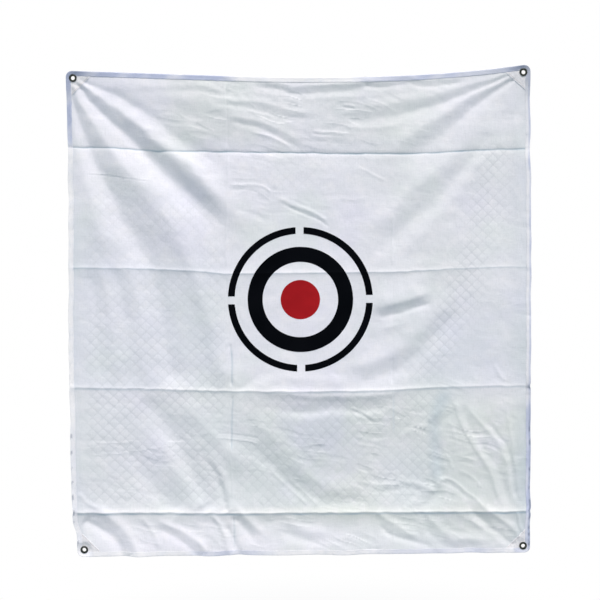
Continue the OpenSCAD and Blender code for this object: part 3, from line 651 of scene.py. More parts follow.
class Shader:
    """A node material under construction."""

    def __init__(self, name, **finish):
        self.material = bpy.data.materials.new(name)
        self.material.use_nodes = True
        self.tree = self.material.node_tree
        self.main = self.tree.nodes["Principled BSDF"]
        for socket, value in finish.items():
            self.main.inputs[socket.replace("_", " ").title().replace("Ior", "IOR")].default_value = value
        self.uv = self.node("UVMap", uv_map=UV_NAME)["UV"]
        self.place = self.node("TexCoord")["Object"]

    def node(self, kind, inputs=(), **settings):
        return add_node(self.tree, kind, inputs, **settings)

    def math(self, operation, *values):
        return self.node("Math", values, operation=operation)[0]

    def times(self, a, b):
        return self.math("MULTIPLY", a, b)

    def ramp(self, value, low, high, to_low=0.0, to_high=1.0):
        """value from low to high, smoothly turned into to_low to to_high."""
        limits = low, high, to_low, to_high
        return self.node("MapRange", (value, *limits), interpolation_type="SMOOTHSTEP")[0]

    def scaled(self, vector, scale, turn=0.0):
        return self.node("Mapping", {"Vector": vector, "Scale": scale, "Rotation": (0, 0, turn)})[0]

    def noise(self, vector, scale, detail=2.0, roughness=.5):
        return self.node("TexNoise", {"Vector": vector, "Scale": scale, "Detail": detail,
                                      "Roughness": roughness})[0]

    def mix(self, factor, a, b):
        return self.node("Mix", {"Factor": factor, "A": a, "B": b}, data_type="RGBA")["Result"]

    def stain(self, where, share, *rgb):
        """Mixes a share of another colour in."""
        self.colour = self.mix(self.times(where, share), self.colour, linear(*rgb))

    def attribute(self, name):
        return self.node("Attribute", attribute_name=name)["Fac"]

    def axes(self, vector):
        return self.node("SeparateXYZ", (vector,))

    def weave(self, pitch):
        """Plain weave of the given thread pitch in metres: 1 on top of a thread, 0 between threads."""
        x, y, _ = self.axes(self.scaled(self.uv, (pi / pitch, pi / pitch, 1)))
        over = self.times(self.math("SINE", x), self.math("SINE", y))
        across, down = (self.math("ABSOLUTE", self.math("SINE", axis)) for axis in (x, y))
        return self.math("ADD", self.times(across, self.ramp(over, -.4, .4)),
                         self.times(down, self.ramp(over, .4, -.4)))

    def bump(self, heights, distance, strength=1.0, under=None):
        return self.node("Bump", {"Height": heights, "Distance": distance, "Strength": strength,
                                  "Normal": under})[0]

    def done(self, normal, roughness=None):
        for socket, value in (("Base Color", self.colour), ("Normal", normal), ("Roughness", roughness)):
            if value is not None:
                self.tree.links.new(value, self.main.inputs[socket])
        return self.material


# ---- materials

LATTICE_CELL = 23.5 * MM
THREAD_PITCH = .55 * MM


def cloth_material():
    s = Shader("woven_cloth", roughness=.72, sheen_weight=.12, sheen_roughness=.45,
               specular_ior_level=.25)
    # Faint diamond lattice that is pressed into the weave: rounded cells with soft furrows between, which
    # get painted shade
    x, y, _ = s.axes(s.scaled(s.uv, (pi / LATTICE_CELL, pi / LATTICE_CELL, 1), radians(45)))
    cell = s.times(*(s.math("POWER", s.math("ABSOLUTE", s.math("SINE", axis)), .6) for axis in (x, y)))
    amount = s.attribute("lattice")
    pillow = s.times(cell, s.times(amount, .42))
    furrow_shade = s.times(s.ramp(cell, .5, .05), amount)
    # Threads that vary in thickness, in both directions
    slubs = s.math("ADD", s.noise(s.scaled(s.uv, (420, 30, 1)), 1, 2),
                   s.noise(s.scaled(s.uv, (34, 300, 1)), 1, 3, .7))
    grain = s.noise(s.uv, 130, 3, .6)
    weave = s.weave(THREAD_PITCH)
    blush = s.noise(s.uv, 3.2, 3, .6)
    # painted shade with a greenish cast of reflected light, as much as its amount says
    s.colour = s.mix(s.attribute("green_shade"), linear(241, 242, 250), linear(229, 234, 231))
    s.stain(s.ramp(s.noise(s.uv, 22, 4, .6), .45, .7), .5, 249, 248, 252)
    s.stain(s.ramp(blush, .46, .68), .45, 230, 239, 235)
    s.stain(s.ramp(blush, .48, .28), .5, 235, 234, 251)
    # painted bluish shade near the edges, low down and along the creases
    s.stain(s.attribute("shade"), 1, 182, 200, 212)
    # painted shade in the lattice's furrows
    s.stain(furrow_shade, .15, 140, 152, 162)
    s.stain(s.ramp(slubs, .9, 1.3), .16, 196, 203, 208)
    s.stain(s.ramp(grain, .5, .72), .12, 196, 203, 208)
    # painted shade between the threads of the weave
    s.stain(s.ramp(weave, .5, .05), .10, 186, 194, 206)
    rough = s.bump(s.math("ADD", pillow, s.times(grain, .22)), 1.2 * MM)
    return s.done(s.bump(weave, .10 * MM, .6, under=s.bump(slubs, .25 * MM, under=rough)))


def tape_material():
    s = Shader("edge_tape", roughness=.62, sheen_weight=.15, sheen_roughness=.4, specular_ior_level=.3)
    # Fine slanted ribs of the tape's twill
    x, y, _ = s.axes(s.uv)
    rib = s.math("SINE", s.times(s.math("ADD", x, s.times(y, .6)), 2 * pi / (2 * THREAD_PITCH)))
    wear = s.noise(s.uv, 26, 4, .6)
    s.colour = s.mix(s.ramp(s.noise(s.uv, 30, 3), .35, .7), linear(254, 254, 255), linear(247, 249, 253))
    # painted lavender shade along the hem
    s.stain(s.attribute("cool_shade"), 1, 192, 201, 227)
    s.stain(s.ramp(wear, .55, .75), .25, 244, 245, 249)
    # painted bluish shade at the top corners, the lower right edge and the notch; dark specks
    s.stain(s.attribute("shade"), 1, 112, 126, 150)
    # painted shade in the grooves between the twill's ribs
    s.stain(s.ramp(rib, .2, -1), .10, 170, 176, 196)
    return s.done(s.bump(rib, .07 * MM, .7, under=s.bump(wear, .5 * MM)))


def patch_material():
    s = Shader("corner_patch", roughness=.75, sheen_weight=.2, sheen_roughness=.5, specular_ior_level=.2)
    weave = s.weave(2.4 * MM)
    fibre = s.noise(s.uv, 120, 4, .65)
    s.colour = s.mix(s.ramp(fibre, .35, .65), linear(238, 239, 244), linear(246, 246, 249))
    # painted shade between the threads of the coarse weave
    s.stain(s.ramp(weave, .6, .1), .34, 158, 160, 166)
    return s.done(s.bump(weave, .45 * MM, .9, under=s.bump(fibre, .2 * MM)))


def thread_material(name, pale, deep):
    s = Shader(name, roughness=.5, specular_ior_level=.4)
    ply = s.noise(s.scaled(s.uv, (1400, 700, 1), .6), 1, 2)
    s.colour = s.mix(s.ramp(ply, .4, .6), pale, deep)
    return s.done(s.bump(ply, .1 * MM))


def ink_material(name, deep, worn):
    """Printed ink that lets the weave show, a little worn on its high threads."""
    s = Shader(name, specular_ior_level=.02)
    patchy = s.noise(s.uv, 8, 3)
    s.colour = s.mix(s.ramp(patchy, .3, .7), deep, worn)
    s.stain(s.ramp(s.noise(s.uv, 60, 5, .7), .66, .8), .3, 120, 118, 120)
    return s.done(s.bump(s.weave(THREAD_PITCH), .09 * MM, .6), s.ramp(patchy, .3, .7, .42, .58))


def metal_material(name, light, dark, roughness):
    s = Shader(name, metallic=1.0)
    tarnish = s.noise(s.place, 150, 6, .7)
    scratch = s.noise(s.scaled(s.place, (1, 1, 8)), 900, 3, .7)
    s.colour = s.mix(s.ramp(tarnish, .3, .72), light, dark)
    return s.done(s.bump(scratch, .04 * MM, .5), s.ramp(tarnish, .35, .7, roughness, roughness + .22))


CLOTH, TAPE, PATCH = cloth_material(), tape_material(), patch_material()
THREAD = thread_material("sewing_thread", linear(226, 228, 238), linear(204, 208, 222))
PATCH_THREAD = thread_material("patch_thread", linear(188, 172, 174), linear(150, 134, 138))
INK_BLACK = ink_material("ink_black", linear(3, 5, 9), linear(8, 10, 15))
INK_RED = ink_material("ink_red", linear(176, 32, 38), linear(165, 29, 35))
METALS = {"grommet": metal_material("grommet_metal", linear(72, 76, 72), linear(36, 41, 38), .28),
          "washer": metal_material("washer_metal", linear(122, 125, 120), linear(76, 80, 77), .3)}


# ---- how pieces follow the frame

def bends_with(piece):
    """Bakes the piece's place into the points of its mesh."""
    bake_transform(piece)


def panel_nodes(prefix, k):
    """The CAD nodes that piece k stands for. The last piece stands for two panels' nodes."""
    if k is None:
        return [prefix]
    panels = 2 if k == len(PIECE_NAMES) - 1 else 1
    return [f"{prefix}_{n}" for n in range(k + 1, k + 1 + panels)]


# ---- the cloth

EDGE_GAP = 1.0                 # the cloth ends this far inside its folded tape
HOLE_HALF = 8.4                # half side of the square of cells left out at a grommet
HOLE_EASE = 17                 # the grid is square again this far from a grommet
CLOTH_STEP = 4.2
BACK_TINT = .3                 # share of the front's painted shade, bluish and greenish, that the back has


def follow_creases(u, level):
    """How far down a row lies: rows follow the sagging top edge and every crease line."""
    guides = [(0, top_sag(u)), (2 * GROMMET_INSET, top_sag(u))]
    guides += [(hinge, crease_line(k, u) - hinge) for k, hinge in enumerate(HINGE_V)]
    guides += [(CLOTH_H - 2 * GROMMET_INSET, 0 * u), (CLOTH_H, 0 * u)]
    out = np.zeros(np.broadcast(u, level).shape)
    for (a, shift_a), (b, shift_b) in zip(guides[:-1], guides[1:]):
        between = shift_a + (shift_b - shift_a) * (level - a) / (b - a)
        out = np.where((level >= a) & (level <= b), between, out)
    return level + out


def round_hole(u, v):
    """Turns the grid's square round each grommet into a circle."""
    for gu, gv in GROMMETS:
        du, dv = u - gu, v - gv
        square = np.maximum(np.abs(du), np.abs(dv))
        near = square < HOLE_EASE
        ease = 1 - rise(square, HOLE_HALF, HOLE_EASE - HOLE_HALF)
        scale = 1 + ease * (square / np.maximum(np.hypot(du, dv), TINY) - 1)
        u, v = np.where(near, gu + du * scale, u), np.where(near, gv + dv * scale, v)
    return u, v


def round_corner(u, v):
    """Turns the grid's square corners into arcs."""
    r = CORNER_R
    at_left, at_top = u < CLOTH_W / 2, v < CLOTH_H / 2
    a = np.where(at_left, r - u, u - CLOTH_W + r)
    b = np.where(at_top, r - v, v - CLOTH_H + r)
    inside = (a > 0) & (b > 0)
    scale = np.where(inside, np.maximum(a, b) / np.maximum(np.hypot(a, b), TINY), 1)
    new_u = np.where(at_left, r - a * scale, CLOTH_W - r + a * scale)
    new_v = np.where(at_top, r - b * scale, CLOTH_H - r + b * scale)
    return np.where(inside, new_u, u), np.where(inside, new_v, v)


# How far down, and across, the middle of a band of lattice and of a band of painted shade at the right lies
LATTICE_BAND = [240, 400, 550, 760, 930, 990], [1320, 1290, 1255, 1170, 1080, 1040]
DARK_BAND = [990, 1080, 1180, 1290], [1150, 1112, 1118, 1124]


def lattice_amount(u, v):
    """Where the pressed lattice shows: on the left, in a band down the right, and low in the middle."""
    left = .9 * window(u, 25, 50, 500, 60) * window(v, 300, 120, 1350, 30) * (.5 + .5 * rise(v, 600, 300))
    band = bell(u, np.interp(v, *LATTICE_BAND), 70) * window(v, 200, 90, 1000, 80)
    low = .75 * window(u, 470, 60, 1230, 160) * window(v, 985, 20, 1355, 20)
    top = .3 * window(u, 420, 80, 1000, 80) * fall(v, 430, 90)
    return np.maximum.reduce([left, band, low, top]) * (.6 + .5 * rise(noise(u, v, 90, 71), -.6, 1))


# Painted shade along each level crease, as a dark line: how far below it, its half width, and its strength
CREASE_SHADE = [(-1, 2.6, .8), (1, 2.2, .3), (4, 2.6, .35), (4.5, 3, .7)]

# Painted shade beside each upright crease, as a dark line: which crease, from which level to which, and its
# strength
UPRIGHT_SHADE = [(0, 840, 980, .55), (0, 992, 1180, .4), (0, 1372, 1490, .3), (1, 990, 1130, .25)]


def shade_amount(u, v):
    """How much painted shade the cloth has, bluer and darker: near its edges, low down, and along its
    creases.
    """
    shade = rise(u, 1330, 80) * (.22 + .2 * rise(v, 1000, 200)) + .2 * fall(u, 40, 40)
    low = (.11 + .1 * bell(u, 680, 250)) * window(v, 1000, 80, 1360, 20)
    band = .42 * bell(u, np.interp(v, *DARK_BAND), 26) * window(v, 960, 60, 1300, 60)
    shade += np.maximum(low, band) + .15 * rise(u, 950, 200) * rise(v, 1364, 12)
    shade += .16 * fall(u, 500, 80) * window(v, 560, 60, 985, 20)
    shade += .2 * spot(u, v, 1130, 880, 120, 110)
    shade += .09 * rise(u, 900, 150) * window(v, 630, 80, 985, 20)
    shade += .08 * fall(u, 500, 120) * window(v, 300, 120, 640, 60)
    for k, (offset, width, amount) in enumerate(CREASE_SHADE):
        shade += amount * (1 + .4 * wave(u, 40, 75 + k)) * bell(v - crease_line(k, u), offset, width)
    for place, top, end, amount in UPRIGHT_SHADE:
        shade += amount * bell(upright_offset(place, u, v), 3, 3) * window(v, top, 30, end, 30)
    return np.clip(shade + .05 * noise(u, v, 150, 72), 0, 1)


def green_shade_amount(u, v):
    """How much greener and darker the cloth looks, as painted shade with a greenish cast of reflected
    light: low down, at the right, and in the middle of the top.
    """
    low = rise(v, 930, 150) * (.3 + .6 * rise(u, 380, 300))
    low = low * fall(v - .2 * np.maximum(u - 900, 0), 1440, 80) * (1 - .8 * spot(u, v, 1020, 1270, 90, 110))
    right = .25 * rise(u, 700, 500) * fall(v, 1000, 200)
    top = .48 * window(u, 230, 130, 1250, 250) * fall(v, 250, 60)
    return np.clip(np.maximum(low + right, top) + .12 * noise(u, v, 160, 73), 0, 1)


def make_cloth():
    inset, width, length = GROMMET_INSET, CLOTH_W, CLOTH_H
    pressed = [place for place, _ in UPRIGHT_CREASES]
    sides = [EDGE_GAP, inset - HOLE_HALF, inset + HOLE_HALF]
    columns = spaced(sides + pressed + [width - s for s in reversed(sides)], CLOTH_STEP, pressed)
    stops = sides + [length - s for s in sides] + HINGE_V + SEAM_V
    levels = spaced(sorted(stops), CLOTH_STEP, HINGE_V)
    bounds = [EDGE_GAP, *SEAM_V, length - EDGE_GAP]
    pieces = []
    for k, name in enumerate(PIECE_NAMES):
        rows = levels[(levels > bounds[k] - SAME_PLACE) & (levels < bounds[k + 1] + SAME_PLACE)]
        u, v = np.meshgrid(columns, rows)
        middle_u, middle_v = ((x[:-1, :-1] + x[1:, 1:]) / 2 for x in (u, v))
        keep = np.all([np.maximum(abs(middle_u - gu), abs(middle_v - gv)) > HOLE_HALF
                       for gu, gv in GROMMETS], axis=0)
        u, v = round_corner(*round_hole(u, v))
        v = follow_creases(u, v)
        faces = np.array(grid_faces(*u.shape))[keep.ravel()]
        used, faces = np.unique(faces, return_inverse=True)
        u, v = u.ravel()[used], v.ravel()[used]
        piece = thin_solid(f"cloth_{name}", u, v, faces.reshape(-1, 4).tolist(),
                           CLOTH_T / 2, -CLOTH_T / 2, CLOTH)
        add_amount(piece, "lattice", np.tile(lattice_amount(u, v), 2))
        for cool_shade, amount in (("shade", shade_amount(u, v)), ("green_shade", green_shade_amount(u, v))):
            add_amount(piece, cool_shade, np.concatenate([amount, BACK_TINT * amount]))
        bends_with(piece)
        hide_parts(*panel_nodes("cloth_panel", k))
        pieces.append(piece)
    return pieces


# ---- edge tape and stitches

TAPE_STEP = 4.5
TAPE_RETURN = 6                # how far the top and bottom tapes run on past a corner's arc
FRONT_FACE = CLOTH_T / 2 + LEAF_GAP + PATCH_T + LEAF_GAP
BACK_FACE = -CLOTH_T / 2 - LEAF_GAP
# Places in the tape's outline: its inner edge, the middle of its front leaf, its bend and its back leaf
TAPE_INNER, TAPE_FRONT, TAPE_BEND, TAPE_BACK = 0, 3, 5, 12


def tape_section():
    """Closed outline of the folded tape: inward from the cloth's edge, and toward the front."""
    front, back = FRONT_FACE + TAPE_T, BACK_FACE - TAPE_T
    outer = [(TAPE_W, front - .25), (TAPE_W - .5, front), (TAPE_W - 3, front), (TAPE_W - 7, front),
             (4.5, front), (2.2, front - .02), (.9, front - .25), (.2, front - .8), (0, .1),
             (.25, back + .5), (1, back + .12), (2.6, back), (TAPE_W / 2, back), (TAPE_W - .5, back)]
    inner = [(TAPE_W, BACK_FACE), (TAPE_W / 2, BACK_FACE), (2, BACK_FACE), (.8, 0),
             (2, FRONT_FACE), (TAPE_W / 2, FRONT_FACE), (TAPE_W, FRONT_FACE)]
    return np.array(outer + inner)


def edge_path(stretch, k=None, spare=False):
    """Points on the cloth's outer edge, and the way inward from each, along one stretch of tape.

    spare adds one more point before and after it.
    """
    r, w, h = CORNER_R, CLOTH_W, CLOTH_H
    if k is not None:
        edge, way = (0., 1.) if stretch == "left" else (w, -1.)
        ends = [r + TAPE_RETURN, *SEAM_V, h - r - TAPE_RETURN]
        v = follow_creases(np.array([edge]), np.array(ends[k:k + 2]))
        n = round((v[1] - v[0]) / TAPE_STEP)
        v = v[0] + (v[1] - v[0]) * np.arange(-spare, n + 1 + spare) / n
        return np.full(len(v), edge), v, np.tile([way, 0.], (len(v), 1))
    turn = np.linspace(0, pi / 2, 9)[1:-1]
    c, s = np.cos(turn), np.sin(turn)
    back = np.array([TAPE_RETURN, TAPE_RETURN / 2, 0])
    across = np.linspace(r, w - r, round((w - 2 * r) / TAPE_STEP) + 1)
    none, level = 0 * back, 0 * across
    u = np.concatenate([none, r - r * c, across, w - r + r * s, w + none])
    v = np.concatenate([r + back, r - r * s, level, r - r * c, r + back[::-1]])
    inward_u = np.concatenate([1 + none, c, level, -s, none - 1])
    inward_v = np.concatenate([none, s, 1 + level, c, none])
    if stretch == "top":
        return u, v + top_sag(u), np.stack([inward_u, inward_v], axis=-1)
    return u, h - v, np.stack([inward_u, -inward_v], axis=-1)


def loft_normals(points, front, front_normal):
    """Outward normals of a tube whose rings of points lie one after another.

    front is the place in each ring of a point whose outward normal is nearly front_normal.
    """
    around = np.roll(points, -1, axis=1) - np.roll(points, 1, axis=1)
    normals = unit(np.cross(around, np.gradient(points, axis=0)))
    return normals * np.sign(np.sum(normals[:, front] * front_normal[:, front]))


def make_tape(name, stretch, k):
    u, v, inward = edge_path(stretch, k, spare=k is not None)
    section = tape_section()
    run = run_along(u, v)
    inset, lift = section.T
    uneven = .35 * wave(run, 14, 81)[:, None] * (inset > TAPE_W - 4)
    lift = lift + np.sign(lift) * .16 * noise(u, v, 7, 82)[:, None] * (inset > 3)
    grid_u = u[:, None] + inward[:, :1] * (inset + uneven)
    grid_v = v[:, None] + inward[:, 1:] * (inset + uneven)
    points, normals = surface(grid_u, grid_v)
    points = points + normals * lift[..., None] * MM
    normals = loft_normals(points, TAPE_FRONT, normals)
    if k is not None:
        points, normals, grid_u, grid_v, run = (a[1:-1] for a in (points, normals, grid_u, grid_v, run))
    rows, columns = grid_u.shape
    faces = grid_faces(rows, columns, wrap=True)
    caps = [list(range(columns))[::-1], [(rows - 1) * columns + c for c in range(columns)]]
    if stretch in ("left", "bottom"):
        faces, caps = [f[::-1] for f in faces], [f[::-1] for f in caps]
    corner_normals = [normals.reshape(-1, 3)[np.concatenate(faces)]]
    for end, before in ((0, 1), (-1, -2)):
        ring = points[end]
        way = unit(np.cross(ring[TAPE_BEND] - ring[TAPE_INNER], ring[TAPE_BACK] - ring[TAPE_BEND]))
        way = way * np.sign(way @ (ring[TAPE_INNER] - points[before, TAPE_INNER]))
        corner_normals.append(np.repeat(way[None], columns, axis=0))
    uv = np.stack(np.broadcast_arrays(run[:, None], run_along(*section.T)), axis=-1).reshape(-1, 2) * MM
    piece = new_piece(name, points.reshape(-1, 3), faces + caps, TAPE, uv, np.concatenate(corner_normals),
                      flat=len(caps))
    add_amount(piece, "cool_shade", tape_cool_shade(grid_u, grid_v))
    add_amount(piece, "shade", tape_shade(grid_u, grid_v))
    return piece


def tape_cool_shade(u, v):
    """How much painted lavender shade the tape has: most along the top, and down the left side's first
    stretch.
    """
    top = fall(v - top_sag(u), 60, 30) * (.02 + .98 * fall(u, 530, 60) + .6 * rise(u, 860, 60))
    left = fall(u, 60, 20) * (.02 + .98 * fall(v, 250, 60) + .15 * rise(v, 1060, 120))
    right = .12 + .5 * rise(u, CLOTH_W - 9, 5) + .6 * rise(v, 1000, 60)
    low = rise(v, CLOTH_H - 40, 20) * (.04 + .5 * bell(u, 470, 130, 4) + .35 * bell(u, 1130, 200, 4))
    most = np.maximum.reduce([top, left, right * rise(u, CLOTH_W - 60, 20), low])
    return np.clip(most * (1 + .3 * wave(u + v, 40, 95)), 0, 1)


def tape_shade(u, v):
    """Painted shade on the tape at the two top corners, along the lower right edge and in the notch where a
    crease meets it; dark specks here and there on the lower edges.
    """
    near_top = .9 * np.exp(-np.hypot(u - 30, v) / 40) + np.exp(-np.hypot(u - CLOTH_W + 25, v) / 45)
    spots = rise(wave(u + v, 13, 96) * 2, .35, 1) * rise(v, 1040, 100) * (np.minimum(u, CLOTH_W - u) < 7)
    notch = np.exp(-np.hypot(u - CLOTH_W, v - 986) / 14)
    right_edge = .3 * rise(u, CLOTH_W - 7, 4) * rise(v, 1000, 60)
    return np.clip(near_top + .5 * spots + .9 * notch + right_edge, 0, 1)


def stitch_shape(sides=6, rings=((-.36, .8), (0, 1.), (.36, .8))):
    """One stitch: a long bead, 1 long, 1 wide and 1 high, with its faces."""
    turns = [2 * pi * s / sides for s in range(sides)]
    points = [(x, .5 * r * cos(turn), .5 * r * sin(turn)) for x, r in rings for turn in turns]
    points = [(-.5, 0, 0), *points, (.5, 0, 0)]
    last_ring = 1 + (len(rings) - 1) * sides
    faces = []
    for s in range(sides):
        after = (s + 1) % sides
        faces.append([0, 1 + after, 1 + s])
        faces += [[low + s, low + after, low + sides + after, low + sides + s]
                  for low in range(1, last_ring, sides)]
        faces.append([len(points) - 1, last_ring + s, last_ring + after])
    return np.array(points), faces


def stitch_row(name, u, v, faces, material):
    """Stitches along a line on the cloth, on faces that lie so many millimetres before its middle."""
    run = run_along(u, v)
    count = int(run[-1] / STITCH_PITCH)
    middle = (np.arange(count) + .5) * run[-1] / count
    at_u, at_v = np.interp(middle, run, u), np.interp(middle, run, v)
    ahead_u, ahead_v = (np.interp(middle + 1, run, x) - np.interp(middle - 1, run, x) for x in (u, v))
    points, normals = surface(at_u, at_v + .25 * wave(middle, 30, 85))
    ahead = np.stack([ahead_u, 0 * ahead_u, -ahead_v], axis=-1)
    ahead = unit(ahead - normals * np.sum(ahead * normals, axis=-1)[:, None])
    shape, shape_faces = stitch_shape()
    all_points, all_faces = [], []
    for face in faces:
        for c, a, s, n in zip(points + normals * face * MM, ahead, np.cross(normals, ahead), normals):
            start = len(all_points) * len(shape)
            axes = np.array([(a + STITCH_SLANT * s) * STITCH_L, s * THREAD_W, n * 2 * THREAD_T])
            all_points.append(c + shape @ axes * MM)
            all_faces += [[start + i for i in f] for f in shape_faces]
    flat = np.concatenate(all_points)
    return new_piece(name, flat, all_faces, material, flat[:, [0, 2]])


def edge_stitches(name, stretch, k):
    u, v, inward = edge_path(stretch, k)
    inset = TAPE_W - SEAM_INSET
    return stitch_row(name, u + inward[:, 0] * inset, v + inward[:, 1] * inset,
                      (FRONT_FACE + TAPE_T, BACK_FACE - TAPE_T), THREAD)


def make_edges():
    stretches = [("top", None), ("bottom", None)]
    stretches += [(side, k) for side in ("left", "right") for k in range(len(PIECE_NAMES))]
    for stretch, k in stretches:
        name = stretch if k is None else f"{stretch}_{PIECE_NAMES[k]}"
        tape = make_tape(f"tape_{name}", stretch, k)
        thread = edge_stitches(f"stitches_{name}", stretch, k)
        for piece, node, slot in ((tape, "edge_tape", "edge_tape"), (thread, "seam_thread", "thread")):
            if k is None:
                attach(piece, f"{stretch}_panel")
            else:
                bends_with(piece)
            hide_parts(*panel_nodes(f"{node}_{stretch}", k))


# ---- corner patches

PATCH_RINGS = 20
PATCH_SIDES = 120
PATCH_HOLE_R = 7.5
PATCH_INSET = 1.6              # the patch ends this far inside the cloth's edge, in the tape
WELT_W = 3.5                   # width of the turned edge along the patch's diagonal
WELT_T = 1.0                   # its height over the patch
THREAD_LIFT = 0.1              # the middle of the patch's stitches over its face


def patch_outline(angle):
    """How far the patch reaches from the grommet, turned so that its square corner is at u = v = 0."""
    g, low, r = GROMMET_INSET, PATCH_INSET, CORNER_R
    du, dv = np.cos(angle), np.sin(angle)
    edges = [(-du, g - low), (-dv, g - low), (du + dv, PATCH_LEG - 2 * g)]
    reach = np.min([away / np.maximum(toward, TINY) for toward, away in edges], axis=0)
    centre = r - g
    along = du * centre + dv * centre
    to_arc = along + np.sqrt(np.maximum(along ** 2 - 2 * centre ** 2 + (r - low) ** 2, 0))
    in_arc = (du < 0) & (dv < 0) & (g + reach * du < r) & (g + reach * dv < r)
    return np.where(in_arc, to_arc, reach)


def in_corner(row, side, u, v):
    """Points given from the top left corner, carried to the named corner."""
    u = u if side == "left" else CLOTH_W - u
    return u, v + top_sag(u) if row == "top" else CLOTH_H - v


def make_patch(row, side):
    g = GROMMET_INSET
    tip = np.arctan2(PATCH_INSET - g, PATCH_LEG - PATCH_INSET - g)
    angle = np.sort(np.concatenate([np.linspace(0, 2 * pi, PATCH_SIDES, endpoint=False),
                                    [tip % (2 * pi), (pi / 2 - tip) % (2 * pi)]]))
    share = np.linspace(0, 1, PATCH_RINGS + 1)[:, None]
    reach = PATCH_HOLE_R + (patch_outline(angle) - PATCH_HOLE_R) * share
    u, v = g + reach * np.cos(angle), g + reach * np.sin(angle)
    back = CLOTH_T / 2 + LEAF_GAP
    welt = fall((PATCH_LEG - u - v) / 2 ** .5, WELT_W, 1.5) * rise(np.minimum(u, v), TAPE_W + 1, 1)
    front = back + PATCH_T + WELT_T * welt
    piece = thin_solid(f"patch_{row}_{side}", *in_corner(row, side, u.ravel(), v.ravel()),
                       grid_faces(*u.shape, wrap=True), front.ravel(), back, PATCH)
    start, end = TAPE_W + 2, PATCH_LEG - TAPE_W - 2 - WELT_W * 2 ** .5
    line = np.linspace(start, end, 30)
    thread = stitch_row(f"patch_stitches_{row}_{side}", *in_corner(row, side, line, line[::-1]),
                        (back + PATCH_T + THREAD_LIFT,), PATCH_THREAD)
    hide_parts(f"corner_patch_{row}_{side}")
    for thing in (piece, thread):
        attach(thing, f"{row}_panel")


# ---- printed target

PRINT_STEP = 2.6
CREASE_CUTS = [-8, -5, -3, -1.5, 0, 1.5, 3, 5, 8]      # from the crease that crosses the print


def ring_arc(inner, outer, start, end):
    """Flat points of an arc of a ring. start and end are angles, each given at both radii."""
    radius = np.linspace(inner, outer, max(2, round((outer - inner) / PRINT_STEP)) + 1)[:, None]
    share = np.linspace(0, 1, round((end[1] - start[1]) * outer / PRINT_STEP) + 1)
    from_angle, to_angle = (np.interp(radius, [inner, outer], angles) for angles in (start, end))
    angle = from_angle + (to_angle - from_angle) * share
    return TARGET_U + radius * np.sin(angle), TARGET_V - radius * np.cos(angle)


def disc(radius):
    """Flat points of a disc: a square grid with its corners drawn in to a circle."""
    side = np.linspace(-1, 1, round(2 * radius / PRINT_STEP) + 1)
    x, y = np.meshgrid(side, side)
    scale = np.maximum(abs(x), abs(y)) / np.maximum(np.hypot(x, y), TINY)
    return TARGET_U + radius * x * scale, TARGET_V + radius * y * scale


def cut_at_crease(u, v, faces):
    """The flat mesh divided along the crease that crosses the target, and along lines beside it."""
    mesh = bmesh.new()
    verts = [mesh.verts.new((x, y, 0)) for x, y in zip(u.ravel(), v.ravel())]
    for f in faces:
        mesh.faces.new([verts[i] for i in f])
    bmesh.ops.remove_doubles(mesh, verts=mesh.verts, dist=SAME_PLACE)
    crease = crease_line(PRINT_CREASE, TARGET_U)
    for offset in CREASE_CUTS:
        bmesh.ops.bisect_plane(mesh, geom=mesh.verts[:] + mesh.edges[:] + mesh.faces[:], dist=SAME_PLACE,
                               plane_co=(0, crease + offset, 0), plane_no=(0, 1, 0))
    mesh.verts.index_update()
    points = np.array([p.co for p in mesh.verts])
    faces = []
    for f in mesh.faces:
        f.normal_update()
        ids = [p.index for p in f.verts]
        faces.append(ids if f.normal.z < 0 else ids[::-1])
    mesh.free()
    return points[:, 0], points[:, 1], faces


def make_print(name, flat, nodes, material, wrap=False):
    u, v, faces = cut_at_crease(*flat, grid_faces(*flat[0].shape, wrap=wrap))
    face = CLOTH_T / 2
    piece = thin_solid(name, u, v, faces, face + INK_LIFT, face + INK_BACK, material)
    bends_with(piece)
    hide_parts(*nodes)


def make_target():
    quarters = [("upper_right", ["target_outer_ring_upper"]), ("lower_right", ["target_outer_ring_lower"]),
                ("lower_left", []), ("upper_left", [])]
    gap = np.arcsin(OUTER_BREAK / 2 / np.array(OUTER_R))
    for k, (quarter, nodes) in enumerate(quarters):
        arc = ring_arc(*OUTER_R, k * pi / 2 + gap, (k + 1) * pi / 2 - gap)
        make_print(f"outer_ring_{quarter}", arc, nodes, INK_BLACK)
    ring = [x[:, :-1] for x in ring_arc(*INNER_R, (0, 0), (2 * pi, 2 * pi))]
    make_print("inner_ring", ring, ["target_inner_ring_upper", "target_inner_ring_lower"],
               INK_BLACK, wrap=True)
    make_print("bullseye", disc(BULLSEYE_R), ["target_bullseye"], INK_RED)


# ---- camera, stage and light

LENS, SENSOR_W = 70, 36


def turned(azimuth, elevation):
    """The way toward something. Azimuth 0 is in front of the cloth, and positive to its right."""
    a, e = radians(azimuth), radians(elevation)
    return Vector((sin(a) * cos(e), -cos(a) * cos(e), sin(e)))


def camera(azimuth, elevation, roll, centre, distance):
    """Camera at the photograph's viewing angle, looking at centre from a distance."""
    back, level = turned(azimuth, elevation), Vector((cos(radians(azimuth)), sin(radians(azimuth)), 0))
    upright = back.cross(level)
    c, s = cos(radians(roll)), sin(radians(roll))
    axes = Matrix((level * c + upright * s, upright * c - level * s, back))
    data = bpy.data.cameras.new("camera")
    data.lens, data.sensor_width = LENS, SENSOR_W
    view = add_object("camera", data)
    view.matrix_world = Matrix.Translation(Vector(centre) + back * distance) @ axes.transposed().to_4x4()
    bpy.context.scene.camera = view


